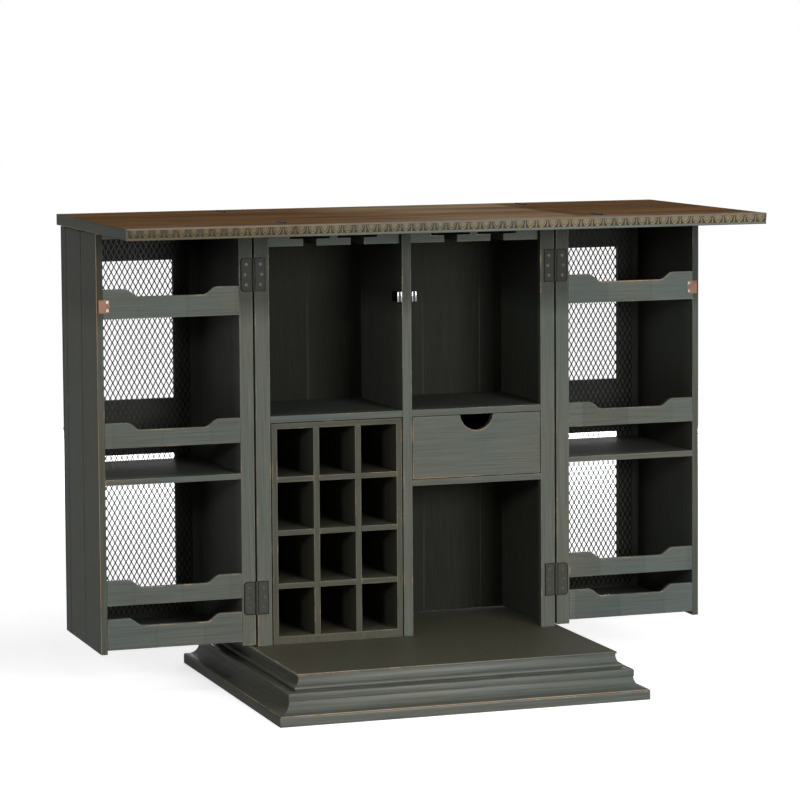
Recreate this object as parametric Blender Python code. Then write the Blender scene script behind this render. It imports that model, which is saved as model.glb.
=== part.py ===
"""Bar cabinet with two deep hinged doors, two folding top leaves, a drawer and a wine rack.

Metres, +Z up. The origin is on the floor at the middle of the base, and the front faces -Y.
The cabinet stands as it does in use: doors swung right round, top leaves folded out over them.
"""
from collections import namedtuple
from math import asin, cos, pi, radians, sin

import bmesh
import bpy
from mathutils import Matrix, Vector

# Clearances
TOUCH = 0.0003                     # between pieces that rest on or against each other
DOOR_CLEARANCE = 0.004             # doors to the plinth below and the top above
DOOR_MEETING_GAP = 0.003           # between the two closed doors
CLOSED_DOOR_REVEAL = 0.001         # closed doors stand this far behind the plinth's lip
TOP_FRONT_REVEAL = 0.0018          # and this far behind the front of the top
FOLDED_LEAF_GAP = 0.0006           # between the two leaves when they lie folded on the top
DRAWER_FRONT_GAP = 0.0015
DRAWER_SIDE_GAP = 0.001
RACK_SIDE_GAP = 0.0025
RACK_TOP_GAP = 0.002
CATCH_GAP = 0.0004                 # closed strike plate to catch
PIN_CLEARANCE = 0.0003
KNUCKLE_CLEARANCE = 0.0004
GLUED_LAP = 0.001                  # glued pieces of one body run this far into each other

# Body
HEIGHT = 1.066
BODY_WIDTH = 0.715
BODY_DEPTH = 0.312
SIDE_THICKNESS = 0.018
STILE_WIDTH = 0.034
STILE_THICKNESS = 0.018
BACK_THICKNESS = 0.0117
PARTITION_THICKNESS = 0.022
TOP_PANEL_THICKNESS = 0.0117
PLANK_WIDTH = 0.142                # tongue and groove boards, seen as grooves on sides and back
GROOVE_DEPTH = 0.0018

# Plinth: heights of the moulding's members from the floor up, then how far each runs in
FOOT_HEIGHT = 0.024
COVE_HEIGHT = 0.026
BASE_LIP_HEIGHT = 0.016
BEAD_HEIGHT = 0.0105
NECK_HEIGHT = 0.020
NECK_FILLET = 0.002
PLINTH_LIP_THICKNESS = 0.0047
PLINTH_BOARD_THICKNESS = 0.016
BASE_SPREAD = 0.0565               # the foot stands out this far past the plinth's lip
PLINTH_LIP_SIDE = 0.0125           # the lip past the body's sides
PLINTH_LIP_BACK = 0.0185
FOOT_ROUND = 0.004
COVE_WIDTH = 0.025
BASE_LIP_STEP = 0.0015
BASE_LIP_ROUND = 0.004
BEAD_BULGE = 0.002
NECK_WIDTH = 0.0095
LIP_OVERHANG = 0.0025              # the lip past the neck below it
MOULDING_BACK = 0.018              # from the lip's edge in to the back of the mouldings
FRAME_THICKNESS = 0.018

# Top
TOP_THICKNESS = 0.025
TOP_SIDE_OVERHANG = 0.00815        # body side to the seam between centre and leaf
SEAM_GAP = 0.0008
TOP_BACK_OVERHANG = 0.006
EDGE_MOULDING_DEPTH = 0.0177
TOP_NOSE_HEIGHT = 0.003
TOP_BEAD_HEIGHT = 0.0055
OVOLO_DEPTH = 0.004

# Shelves, drawer bay and hanging glass rails
SHELF_TOP = 0.619
SHELF_THICKNESS = 0.015
DRAWER_SHELF_TOP = 0.4595
DRAWER_SHELF_THICKNESS = 0.0142
GUIDE_HEIGHT = 0.025
GLASS_SLOT_SPACING = 0.112
GLASS_STEM_SLOT = 0.031
GLASS_FOOT_SLOT = 0.094
GLASS_RAIL_SETBACK = 0.014
GLASS_RAIL_THICKNESS = 0.016
GLASS_FOOT_HEIGHT = 0.0157

# Drawer
DRAWER_FRONT_THICKNESS = 0.018
DRAWER_FRONT_SETBACK = 0.0005
DRAWER_BACK_GAP = 0.0095            # back of the drawer to the back panel's grooved boards
DRAWER_SIDE_THICKNESS = 0.011
DRAWER_SIDE_HEIGHT = 0.125
DRAWER_BOTTOM_THICKNESS = 0.006
DRAWER_BOTTOM_LIFT = 0.0102
FINGER_CUT_RADIUS = 0.040
FINGER_CUT_DEPTH = 0.0363

# Wine rack
RACK_SETBACK = 0.001
RACK_BACK_GAP = 0.014
RACK_SIDE_THICKNESS = 0.013
RACK_UPRIGHT_THICKNESS = 0.014
RACK_SHELF_THICKNESS = 0.0125
RACK_BOTTOM_THICKNESS = 0.0182
RACK_UPRIGHT_COUNT = 2
RACK_SHELF_COUNT = 3

# Doors: d runs from the hinge edge to the free edge
DOOR_DEPTH = 0.335
HINGE_SIDE_THICKNESS = 0.0315
OUTER_SIDE_THICKNESS = 0.015
DOOR_BOARD_THICKNESS = 0.012
DOOR_FLOOR_LIFT = 0.009            # floor board above the door's bottom
DOOR_UPPER_BAY_HEIGHT = 0.164
DOOR_MIDDLE_SHELF_THICKNESS = 0.013
SHELF_TO_MESH = 0.0007
GALLERY_THICKNESS = 0.012
GALLERY_END = 0.050
GALLERY_RAMP = 0.032
LOWER_GALLERY_HEIGHT = 0.068
FREE_GALLERY_HEIGHT = 0.056
UPPER_GALLERY_HEIGHT = 0.065
GALLERY_SCOOP = 0.0168
LOWER_GALLERY_SPACE = 0.0308       # between the two lowest gallery rails
MIDDLE_GALLERY_SPACE = 0.0692      # middle shelf to the rail above it
MESH_FRAME_THICKNESS = 0.0117
MESH_HINGE_STILE = 0.096
MESH_FREE_STILE = 0.069
MESH_BOTTOM_RAIL = 0.081
MESH_MIDDLE_RAIL = 0.128
MESH_TOP_RAIL = 0.0835
MESH_THICKNESS = 0.0018
MESH_LAP = 0.0375                  # mesh sheet past its openings at the sides
MESH_END_LAP = 0.0565              # and past them at top and bottom
MESH_DIAMOND_WIDTH = 0.038
MESH_DIAMOND_HEIGHT = 0.064
MESH_STRAND = 0.0036
KNOB_RADIUS = 0.0105
KNOB_PROJECTION = 0.0255
KNOB_NECK_RADIUS = 0.0045
KNOB_EDGE_DISTANCE = 0.014
STRIKE_WIDTH = 0.0245
STRIKE_HEIGHT = 0.030
STRIKE_THICKNESS = 0.0012
STRIKE_EDGE_DISTANCE = 0.0045
STRIKE_FROM_TOP = 0.1597           # plate's centre below the door's top
STRIKE_HOLE_RADIUS = 0.0017
STRIKE_HOLE_INSET = 0.0048
STRIKE_HOLE_PITCH = 0.009
CATCH_WIDTH = 0.012
CATCH_HEIGHT = 0.024
CATCH_LENGTH = 0.038
CATCH_CHAMFER = 0.002

# Hinges: d, radial sizes and plates are measured from the pin's axis
DOOR_AXIS_OUT = 0.0022             # pin's axis past the body's side
DOOR_AXIS_FRONT = 0.0026           # and in front of the body's face
DOOR_HINGE_HEIGHT = 0.075
DOOR_HINGE_FROM_TOP = 0.099        # hinge centres from the doors' ends
DOOR_HINGE_FROM_BOTTOM = 0.1065
DOOR_KNUCKLE_RADIUS = 0.0029
DOOR_PIN_RADIUS = 0.0013
DOOR_HINGE_PLATE = 0.002
BODY_LEAF_REACH = 0.0275
DOOR_LEAF_REACH = 0.0295
DOOR_LEAF_ROUND = 0.008
DOOR_KNUCKLES = 5
SEAM_AXIS_RISE = 0.0005            # pin's axis above the top's surface
SEAM_HINGE_LENGTH = 0.058
SEAM_HINGE_FROM_FRONT = 0.104      # hinge centres from the top's front and back edges
SEAM_HINGE_FROM_BACK = 0.080
SEAM_KNUCKLE_RADIUS = 0.00275
SEAM_RECESS_CLEARANCE = 0.0006
SEAM_PIN_RADIUS = 0.0011
SEAM_HINGE_PLATE = 0.0012
SEAM_KNUCKLES = 3

# Places that follow from the sizes above
body_side = BODY_WIDTH / 2
board_back = BODY_DEPTH - BACK_THICKNESS - TOUCH
behind_stile = STILE_THICKNESS + TOUCH
stile_inner = body_side - STILE_WIDTH
side_inner = body_side - SIDE_THICKNESS
partition_side = PARTITION_THICKNESS / 2
bay_centre = (partition_side + stile_inner) / 2
closed_door_gap = 2 * DOOR_AXIS_FRONT
closed_door_front = closed_door_gap + DOOR_DEPTH
plinth_front_reach = closed_door_front + CLOSED_DOOR_REVEAL + BASE_SPREAD
plinth_back_reach = BODY_DEPTH + PLINTH_LIP_BACK + BASE_SPREAD
base_width = BODY_WIDTH + 2 * (PLINTH_LIP_SIDE + BASE_SPREAD)
base_depth = plinth_front_reach + plinth_back_reach
FACE = (plinth_front_reach - plinth_back_reach) / 2    # Y of the body's front face

base_lip_bottom = FOOT_HEIGHT + COVE_HEIGHT
base_top = base_lip_bottom + BASE_LIP_HEIGHT
neck_bottom = base_top + BEAD_HEIGHT
neck_top = neck_bottom + NECK_HEIGHT
lip_bottom = neck_top + TOUCH
plinth_top = lip_bottom + PLINTH_LIP_THICKNESS
plinth_board_bottom = plinth_top - PLINTH_BOARD_THICKNESS
neck_inset = BASE_SPREAD + LIP_OVERHANG
moulding_back = BASE_SPREAD + MOULDING_BACK
frame_inset = moulding_back + TOUCH
base_lip_inset = FOOT_ROUND + COVE_WIDTH - BASE_LIP_STEP

top_underside = HEIGHT - TOP_THICKNESS
top_panel_bottom = top_underside - TOUCH - TOP_PANEL_THICKNESS
body_bottom = plinth_top + TOUCH
body_top = top_panel_bottom - TOUCH
top_front = closed_door_front + TOP_FRONT_REVEAL
top_back = BODY_DEPTH + TOP_BACK_OVERHANG
seam = body_side + TOP_SIDE_OVERHANG
leaf_inner = seam + SEAM_GAP / 2
leaf_outer = 2 * seam - FOLDED_LEAF_GAP / 2
top_board_front = top_front - EDGE_MOULDING_DEPTH

door_axis = body_side + DOOR_AXIS_OUT
door_edge = body_side + 2 * DOOR_AXIS_OUT
door_width = body_side - DOOR_MEETING_GAP / 2
door_bottom = plinth_top + DOOR_CLEARANCE
door_top = top_underside - DOOR_CLEARANCE
door_inner = HINGE_SIDE_THICKNESS + TOUCH
door_outer = door_width - OUTER_SIDE_THICKNESS - TOUCH
mesh_frame_front = DOOR_DEPTH - MESH_FRAME_THICKNESS
door_back = mesh_frame_front - TOUCH
mesh_front = door_back - MESH_THICKNESS
shelf_back = mesh_front - SHELF_TO_MESH
opening_height = (door_top - door_bottom - MESH_BOTTOM_RAIL - MESH_MIDDLE_RAIL - MESH_TOP_RAIL) / 2
lower_opening = door_bottom + MESH_BOTTOM_RAIL
upper_opening = lower_opening + opening_height + MESH_MIDDLE_RAIL
door_floor = door_bottom + DOOR_FLOOR_LIFT
door_floor_top = door_floor + DOOR_BOARD_THICKNESS
upper_shelf = door_top - 2 * DOOR_BOARD_THICKNESS - DOOR_UPPER_BAY_HEIGHT
middle_shelf = (door_floor_top + upper_shelf - DOOR_MIDDLE_SHELF_THICKNESS) / 2
lower_gallery = door_floor + LOWER_GALLERY_HEIGHT + LOWER_GALLERY_SPACE
middle_gallery = middle_shelf + DOOR_MIDDLE_SHELF_THICKNESS + MIDDLE_GALLERY_SPACE
opening_near = MESH_HINGE_STILE
opening_far = door_width - MESH_FREE_STILE
strike_centre = door_top - STRIKE_FROM_TOP

shelf_bottom = SHELF_TOP - SHELF_THICKNESS
rack_side = stile_inner - RACK_SIDE_GAP
rack_inner = partition_side + RACK_SIDE_GAP
rack_bottom = plinth_top + TOUCH
rack_top = shelf_bottom - RACK_TOP_GAP
drawer_bottom = DRAWER_SHELF_TOP + TOUCH
drawer_left = partition_side + DRAWER_SIDE_GAP
drawer_right = stile_inner - DRAWER_SIDE_GAP

Paint = namedtuple("Paint", "name colour roughness metallic")
FRONT_PAINT = Paint("grey_green_paint", "5e605a", 0.55, 0.0)
SIDE_PAINT = Paint("dark_green_paint", "474a44", 0.55, 0.0)
TOP_WOOD = Paint("brown_plank_top", "66513f", 0.45, 0.0)
MOULDING_PAINT = Paint("gilt_edge_moulding", "6f6a58", 0.50, 0.0)
HINGE_METAL = Paint("dark_hinge_metal", "4b4d49", 0.45, 0.8)
STEEL = Paint("pin_steel", "8a8a88", 0.35, 1.0)
CHROME = Paint("catch_chrome", "c9cbcc", 0.15, 1.0)
COPPER = Paint("copper_strike", "c58a6a", 0.40, 1.0)
MESH_STEEL = Paint("black_mesh", "17171a", 0.45, 0.6)
KNOB_IRON = Paint("dark_knob", "1f1d1b", 0.40, 0.6)

ARC_STEPS = 5
ROUND_SIDES = 16


def clear_scene():
    """Remove every object so that the model stands alone."""
    for item in list(bpy.data.objects):
        bpy.data.objects.remove(item, do_unlink=True)


def linear(code):
    """Turn an sRGB hex code into a linear colour."""
    channels = [int(code[i:i + 2], 16) / 255 for i in (0, 2, 4)]
    return [c / 12.92 if c <= 0.04045 else ((c + 0.055) / 1.055) ** 2.4 for c in channels] + [1.0]


def material(paint):
    """Return the Principled material of a finish, made on first use."""
    found = bpy.data.materials.get(paint.name)
    if found:
        return found
    made = bpy.data.materials.new(paint.name)
    made.use_nodes = True
    shader = made.node_tree.nodes["Principled BSDF"]
    shader.inputs["Base Color"].default_value = linear(paint.colour)
    shader.inputs["Roughness"].default_value = paint.roughness
    shader.inputs["Metallic"].default_value = paint.metallic
    made.diffuse_color = linear(paint.colour)
    return made


def pivot(name, x, y, z):
    """An empty on a joint's axis, which carries the pieces that move with it."""
    empty = bpy.data.objects.new(name, None)
    empty.location = (x, y, z)
    bpy.context.collection.objects.link(empty)
    return empty


def finish(name, bm, paint, parent=None, smooth=False):
    """Turn a bmesh in model coordinates into a named object, carried by parent if there is one."""
    bmesh.ops.recalc_face_normals(bm, faces=bm.faces)
    origin = parent.location.copy() if parent else Vector((0.0, 0.0, 0.0))
    bmesh.ops.translate(bm, verts=bm.verts, vec=-origin)
    mesh = bpy.data.meshes.new(name)
    bm.to_mesh(mesh)
    bm.free()
    if smooth:
        mesh.shade_smooth()
        mesh.set_sharp_from_angle(angle=radians(35))
    piece = bpy.data.objects.new(name, mesh)
    mesh.materials.append(material(paint))
    piece.parent = parent
    bpy.context.collection.objects.link(piece)
    return piece


def combine(piece, name, bm, operation="DIFFERENCE"):
    """Cut the closed shapes in bm, given in model coordinates, from a piece, or join them to it."""
    tool = finish(name, bm, STEEL, piece.parent)
    tool.hide_render = True
    tool.display_type = "WIRE"
    boolean = piece.modifiers.new(name, "BOOLEAN")
    boolean.operation = operation
    boolean.solver = "EXACT"
    boolean.object = tool


def add_box(bm, x, y, z):
    """Add a board between two values on each axis; y is measured from the body's front face."""
    spans = [sorted(x), [FACE + v for v in sorted(y)], sorted(z)]
    centre = Vector([(low + high) / 2 for low, high in spans])
    size = [high - low for low, high in spans]
    bmesh.ops.create_cube(bm, size=1.0, matrix=Matrix.Translation(centre) @ Matrix.Diagonal((*size, 1.0)))


def add_prism(bm, outline, axis, start, end):
    """Extrude a closed outline along X, Y or Z; its points give the other two axes in order."""
    index = "XYZ".index(axis)

    def place(point):
        at = list(point)
        at.insert(index, start)
        return (at[0], FACE + at[1], at[2])

    face = bm.faces.new([bm.verts.new(place(point)) for point in outline])
    grown = bmesh.ops.extrude_face_region(bm, geom=[face])
    moved = [item for item in grown["geom"] if isinstance(item, bmesh.types.BMVert)]
    travel = Vector((0.0, 0.0, 0.0))
    travel[index] = end - start
    bmesh.ops.translate(bm, verts=moved, vec=travel)


def add_rod(bm, axis, centre, radius, length, sides=ROUND_SIDES):
    """Add a round rod along Y or Z, centred on a point in model coordinates."""
    turn = Matrix.Rotation(pi / 2, 4, "X") if axis == "Y" else Matrix.Identity(4)
    bmesh.ops.create_cone(bm, cap_ends=True, segments=sides, radius1=radius, radius2=radius,
                          depth=length, matrix=Matrix.Translation(centre) @ turn)


def arc(centre, radii, start, end, steps=ARC_STEPS):
    """Points on an elliptical arc, angles in radians."""
    angles = [start + (end - start) * i / steps for i in range(steps + 1)]
    return [(centre[0] + radii[0] * cos(t), centre[1] + radii[1] * sin(t)) for t in angles]


def cove(inset, bottom, width, height):
    """A hollow that leaves the outline upright at its foot and runs in under the member above."""
    return arc((inset, bottom + height), (width, height), -pi / 2, 0.0)


def add_ring(bm, profile):
    """Run a profile of (inset, height) points round the plinth, mitred at its four corners."""
    rings = []
    for inset, height in profile:
        x = base_width / 2 - inset
        y = base_depth / 2 - inset
        rings.append([bm.verts.new((a, b, height)) for a, b in ((-x, -y), (x, -y), (x, y), (-x, y))])
    for low, high in zip(rings, rings[1:] + rings[:1]):
        for i in range(4):
            bm.faces.new((low[i - 1], low[i], high[i], high[i - 1]))


def build_base_moulding():
    """Deep coved skirting with the bead and hollow that carry the plinth's lip, mitred all round."""
    bead_foot = neck_inset - NECK_WIDTH
    back_foot = base_lip_inset + BASE_LIP_ROUND
    profile = [(0.0, 0.0)]
    profile += arc((FOOT_ROUND, FOOT_HEIGHT - FOOT_ROUND), (FOOT_ROUND, FOOT_ROUND), pi, pi / 2, 2)
    profile += cove(FOOT_ROUND, FOOT_HEIGHT, COVE_WIDTH, COVE_HEIGHT)[1:]
    profile += [(base_lip_inset, base_lip_bottom)]
    profile += arc((base_lip_inset + BASE_LIP_ROUND, base_top - BASE_LIP_ROUND),
                   (BASE_LIP_ROUND, BASE_LIP_ROUND), pi, pi / 2, 3)
    profile += arc((bead_foot, base_top + BEAD_HEIGHT / 2), (-BEAD_BULGE, BEAD_HEIGHT / 2), -pi / 2, pi / 2)
    profile += cove(bead_foot, neck_bottom, NECK_WIDTH, NECK_HEIGHT - NECK_FILLET)[1:]
    profile += [(neck_inset, neck_top), (moulding_back, neck_top), (moulding_back, base_lip_bottom)]
    profile += [(back_foot, FOOT_HEIGHT), (back_foot, 0.0)]
    bm = bmesh.new()
    add_ring(bm, profile)
    finish("base_moulding", bm, FRONT_PAINT)


def build_plinth_top():
    """Board on which the body stands, rebated over the mouldings, with its frame glued under it."""
    bm = bmesh.new()
    levels = ((frame_inset, plinth_board_bottom), (frame_inset, lip_bottom),
              (BASE_SPREAD, lip_bottom), (BASE_SPREAD, plinth_top))
    rings = []
    for inset, height in levels:
        x = base_width / 2 - inset
        y = base_depth / 2 - inset
        rings.append([bm.verts.new((a, b, height)) for a, b in ((-x, -y), (x, -y), (x, y), (-x, y))])
    bm.faces.new(rings[0])
    bm.faces.new(rings[-1])
    for low, high in zip(rings, rings[1:]):
        for i in range(4):
            bm.faces.new((low[i - 1], low[i], high[i], high[i - 1]))
    board = finish("plinth_top", bm, FRONT_PAINT)
    frame_top = plinth_board_bottom + GLUED_LAP
    frame_back = frame_inset + FRAME_THICKNESS
    bm = bmesh.new()
    add_ring(bm, [(frame_inset, 0.0), (frame_inset, frame_top), (frame_back, frame_top), (frame_back, 0.0)])
    combine(board, "plinth_frame", bm, "UNION")


def grooves(start, end, level, depth):
    """Points along a face of V grooves between boards one plank's width apart, from start to end."""
    points = []
    place = start + PLANK_WIDTH
    while place < end - 2 * GROOVE_DEPTH:
        points += [(place - GROOVE_DEPTH, level), (place, level + depth), (place + GROOVE_DEPTH, level)]
        place += PLANK_WIDTH
    return points


def grooved_side(inner, outer, front, back, bottom, top):
    """A side of upright boards, grooved on its outer face; the boards are set out from the front."""
    depth = -GROOVE_DEPTH if outer > inner else GROOVE_DEPTH
    face = [(x, y) for y, x in grooves(0.0, back, outer, depth)]
    bm = bmesh.new()
    outline = [(inner, front), (outer, front)] + face + [(outer, back), (inner, back)]
    add_prism(bm, outline, "Z", bottom, top)
    return bm


def build_body():
    """Sides with their guide strips, front stiles, partition, back and top panel."""
    strips = {-1: (body_bottom, rack_top - GUIDE_HEIGHT), 1: (drawer_bottom,)}
    for word, side in (("left", -1), ("right", 1)):
        board = finish("body_side_" + word, grooved_side(side * side_inner, side * body_side, behind_stile,
                                                         board_back, body_bottom, body_top), SIDE_PAINT)
        bm = bmesh.new()
        for bottom in strips[side]:
            add_box(bm, (side * stile_inner, side * (side_inner + GLUED_LAP)), (behind_stile, board_back),
                    (bottom, bottom + GUIDE_HEIGHT))
        combine(board, "guide_strips_" + word, bm, "UNION")
        bm = bmesh.new()
        add_box(bm, (side * stile_inner, side * body_side), (0.0, STILE_THICKNESS), (body_bottom, body_top))
        finish("front_stile_" + word, bm, FRONT_PAINT)
    bm = bmesh.new()
    add_box(bm, (-partition_side, partition_side), (0.0, board_back), (body_bottom, body_top))
    finish("partition", bm, FRONT_PAINT)

    front = board_back + TOUCH
    spare = BODY_WIDTH % PLANK_WIDTH / 2
    face = grooves(spare - body_side - PLANK_WIDTH / 2, body_side, front, GROOVE_DEPTH)
    outline = [(-body_side, front)] + face + [(body_side, front), (body_side, BODY_DEPTH),
                                              (-body_side, BODY_DEPTH)]
    bm = bmesh.new()
    add_prism(bm, outline, "Z", body_bottom, body_top)
    finish("back_panel", bm, SIDE_PAINT)
    bm = bmesh.new()
    add_box(bm, (-body_side, body_side), (0.0, BODY_DEPTH), (top_panel_bottom, top_underside - TOUCH))
    panel = finish("top_panel", bm, FRONT_PAINT)
    combine(panel, "glass_rails", glass_rails(), "UNION")


def glass_rails():
    """T and L rails under the top panel; glasses hang by their feet between them."""
    rail_top = top_panel_bottom + GLUED_LAP
    flange_top = top_panel_bottom - GLASS_FOOT_HEIGHT
    flange_bottom = flange_top - GLASS_RAIL_THICKNESS
    half_stem = GLASS_STEM_SLOT / 2
    half_foot = GLASS_FOOT_SLOT / 2
    slot = GLASS_SLOT_SPACING / 2
    web_near = slot + half_foot
    web_far = stile_inner - bay_centre - TOUCH
    length = (GLASS_RAIL_SETBACK, board_back - TOUCH)
    half_t = [(slot - half_stem, flange_bottom), (slot - half_stem, flange_top),
              (slot - half_foot, flange_top), (slot - half_foot, rail_top)]
    middle = half_t + [(-x, z) for x, z in reversed(half_t)]
    outer = [(slot + half_stem, flange_bottom), (web_far, flange_bottom), (web_far, rail_top),
             (web_near, rail_top), (web_near, flange_top), (slot + half_stem, flange_top)]
    bm = bmesh.new()
    for centre in (-bay_centre, bay_centre):
        add_prism(bm, [(centre + x, z) for x, z in middle], "Y", *length)
        for hand in (-1, 1):
            add_prism(bm, [(centre + hand * x, z) for x, z in outer], "Y", *length)
    return bm


def build_shelves():
    """Fixed shelves, notched round the front stiles."""
    shelves = (("shelf_left", -1, shelf_bottom, SHELF_TOP), ("shelf_right", 1, shelf_bottom, SHELF_TOP),
               ("drawer_shelf", 1, DRAWER_SHELF_TOP - DRAWER_SHELF_THICKNESS, DRAWER_SHELF_TOP))
    near = partition_side + TOUCH
    for name, side, bottom, top in shelves:
        outline = [(near, 0.0), (stile_inner - TOUCH, 0.0), (stile_inner - TOUCH, behind_stile),
                   (side_inner - TOUCH, behind_stile), (side_inner - TOUCH, board_back), (near, board_back)]
        bm = bmesh.new()
        add_prism(bm, [(side * x, y) for x, y in outline], "Z", bottom, top)
        finish(name, bm, FRONT_PAINT)


def rack_places(low, high, thickness, count):
    """Low edges of count boards that share the space between low and high evenly."""
    space = (high - low - count * thickness) / (count + 1)
    return [low + space + i * (space + thickness) for i in range(count)]


def build_wine_rack():
    """Loose crate with halved uprights and shelves that cross like an egg crate."""
    depth = (RACK_SETBACK, board_back - RACK_BACK_GAP)
    middle = sum(depth) / 2
    bottom_top = rack_bottom + RACK_BOTTOM_THICKNESS
    top_bottom = rack_top - RACK_SHELF_THICKNESS
    inside = (-rack_side + RACK_SIDE_THICKNESS, -rack_inner - RACK_SIDE_THICKNESS)
    bm = bmesh.new()
    add_box(bm, (-rack_side, -rack_inner), depth, (rack_bottom, rack_top))
    case = finish("wine_rack_case", bm, FRONT_PAINT)
    bm = bmesh.new()
    add_box(bm, inside, (depth[0] - GLUED_LAP, depth[1] + GLUED_LAP), (bottom_top, top_bottom))
    combine(case, "wine_rack_inside", bm)

    uprights = rack_places(*inside, RACK_UPRIGHT_THICKNESS, RACK_UPRIGHT_COUNT)
    shelves = rack_places(bottom_top, top_bottom, RACK_SHELF_THICKNESS, RACK_SHELF_COUNT)
    upright = [(depth[0], top_bottom - TOUCH), (depth[0], bottom_top + TOUCH), (depth[1], bottom_top + TOUCH)]
    for z in shelves:
        high = z + RACK_SHELF_THICKNESS + TOUCH
        upright += [(depth[1], z - TOUCH), (middle, z - TOUCH), (middle, high), (depth[1], high)]
    upright.append((depth[1], top_bottom - TOUCH))
    for number, x in enumerate(uprights, 1):
        bm = bmesh.new()
        add_prism(bm, upright, "X", x, x + RACK_UPRIGHT_THICKNESS)
        finish(f"wine_rack_upright_{number}", bm, FRONT_PAINT)

    low, high = inside[0] + TOUCH, inside[1] - TOUCH
    shelf = [(high, depth[1]), (low, depth[1]), (low, depth[0])]
    for x in uprights:
        far = x + RACK_UPRIGHT_THICKNESS + TOUCH
        slot = middle + TOUCH
        shelf += [(x - TOUCH, depth[0]), (x - TOUCH, slot), (far, slot), (far, depth[0])]
    shelf.append((high, depth[0]))
    for number, z in enumerate(shelves, 1):
        bm = bmesh.new()
        add_prism(bm, shelf, "Z", z, z + RACK_SHELF_THICKNESS)
        finish(f"wine_rack_shelf_{number}", bm, FRONT_PAINT)


def build_drawer(body):
    """Drawer with a half-round finger cut-out, running on its sides over the drawer shelf."""
    top = shelf_bottom - DRAWER_FRONT_GAP
    bottom = DRAWER_SHELF_TOP + DRAWER_FRONT_GAP
    left = partition_side + DRAWER_FRONT_GAP
    right = stile_inner - DRAWER_FRONT_GAP
    front_back = DRAWER_FRONT_SETBACK + DRAWER_FRONT_THICKNESS
    above = FINGER_CUT_RADIUS - FINGER_CUT_DEPTH
    cut_end = asin(above / FINGER_CUT_RADIUS)
    outline = [(left, top), (left, bottom), (right, bottom), (right, top)]
    outline += arc((bay_centre, top + above), (FINGER_CUT_RADIUS, FINGER_CUT_RADIUS),
                   -cut_end, cut_end - pi, 2 * ARC_STEPS)
    bm = bmesh.new()
    add_prism(bm, outline, "Y", DRAWER_FRONT_SETBACK, front_back)
    finish("drawer_front", bm, FRONT_PAINT, body)

    box_front = front_back + TOUCH
    box_back = board_back - DRAWER_BACK_GAP
    panel = drawer_bottom + DRAWER_BOTTOM_LIFT
    inside = (drawer_left + DRAWER_SIDE_THICKNESS, drawer_right - DRAWER_SIDE_THICKNESS)
    bm = bmesh.new()
    add_box(bm, (drawer_left, drawer_right), (box_front, box_back),
            (drawer_bottom, drawer_bottom + DRAWER_SIDE_HEIGHT))
    box = finish("drawer_box", bm, SIDE_PAINT, body)
    bm = bmesh.new()
    add_box(bm, inside, (box_front - GLUED_LAP, box_back - DRAWER_SIDE_THICKNESS),
            (panel + DRAWER_BOTTOM_THICKNESS, drawer_bottom + DRAWER_SIDE_HEIGHT + GLUED_LAP))
    add_box(bm, inside, (box_front - GLUED_LAP, box_back + GLUED_LAP), (drawer_bottom - GLUED_LAP, panel))
    combine(box, "drawer_inside", bm)


def build_catches():
    """Magnetic catches screwed to both sides of the partition, level with the strike plates."""
    front = closed_door_gap - TOUCH - STRIKE_THICKNESS - CATCH_GAP
    for word, side in (("left", -1), ("right", 1)):
        near = side * (partition_side + TOUCH)
        bm = bmesh.new()
        add_box(bm, (near, near + side * CATCH_WIDTH), (-front, CATCH_LENGTH - front),
                (strike_centre - CATCH_HEIGHT / 2, strike_centre + CATCH_HEIGHT / 2))
        rims = [edge for edge in bm.edges if all(v.co.y < FACE for v in edge.verts)]
        bmesh.ops.bevel(bm, geom=rims, offset=CATCH_CHAMFER, segments=1, profile=0.5,
                        affect="EDGES", material=-1)
        finish(word + "_door_catch", bm, CHROME)


def form_seam_hinges(board, sides, hand):
    """Hinge halves let into a board's edge: a recess, knuckles on their plates, and pin or bore.

    hand is -1 for the fixed centre, which has the end knuckles and the pins, and 1 for a leaf.
    """
    recess = SEAM_KNUCKLE_RADIUS + SEAM_RECESS_CLEARANCE
    knuckle = SEAM_HINGE_LENGTH / SEAM_KNUCKLES
    recesses, knuckles, plates, pins = (bmesh.new() for _ in range(4))
    pin_radius = SEAM_PIN_RADIUS if hand < 0 else SEAM_PIN_RADIUS + PIN_CLEARANCE
    for side in sides:
        near = side * (seam + hand * SEAM_GAP / 2)
        far = near + side * hand * SEAM_HINGE_PLATE
        for middle in (SEAM_HINGE_FROM_FRONT - top_front, top_back - SEAM_HINGE_FROM_BACK):
            pin = Vector((side * seam, FACE + middle, HEIGHT + SEAM_AXIS_RISE))
            add_rod(recesses, "Y", pin, recess, SEAM_HINGE_LENGTH + 2 * TOUCH)
            add_rod(pins, "Y", pin, pin_radius, SEAM_HINGE_LENGTH - TOUCH, 8)
            for number in range(SEAM_KNUCKLES):
                if (number % 2 == 0) == (hand > 0):
                    continue
                at = middle + (number + 0.5) * knuckle - SEAM_HINGE_LENGTH / 2
                half = (knuckle - TOUCH) / 2
                add_rod(knuckles, "Y", (pin.x, FACE + at, pin.z), SEAM_KNUCKLE_RADIUS, 2 * half, 12)
                add_box(plates, (near, far), (at - half, at + half), (pin.z - recess - GLUED_LAP, pin.z))
    combine(board, board.name + "_recesses", recesses)
    combine(board, board.name + "_plates", plates, "UNION")
    combine(board, board.name + "_knuckles", knuckles, "UNION")
    combine(board, board.name + "_pins", pins, "UNION" if hand < 0 else "DIFFERENCE")


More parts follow.
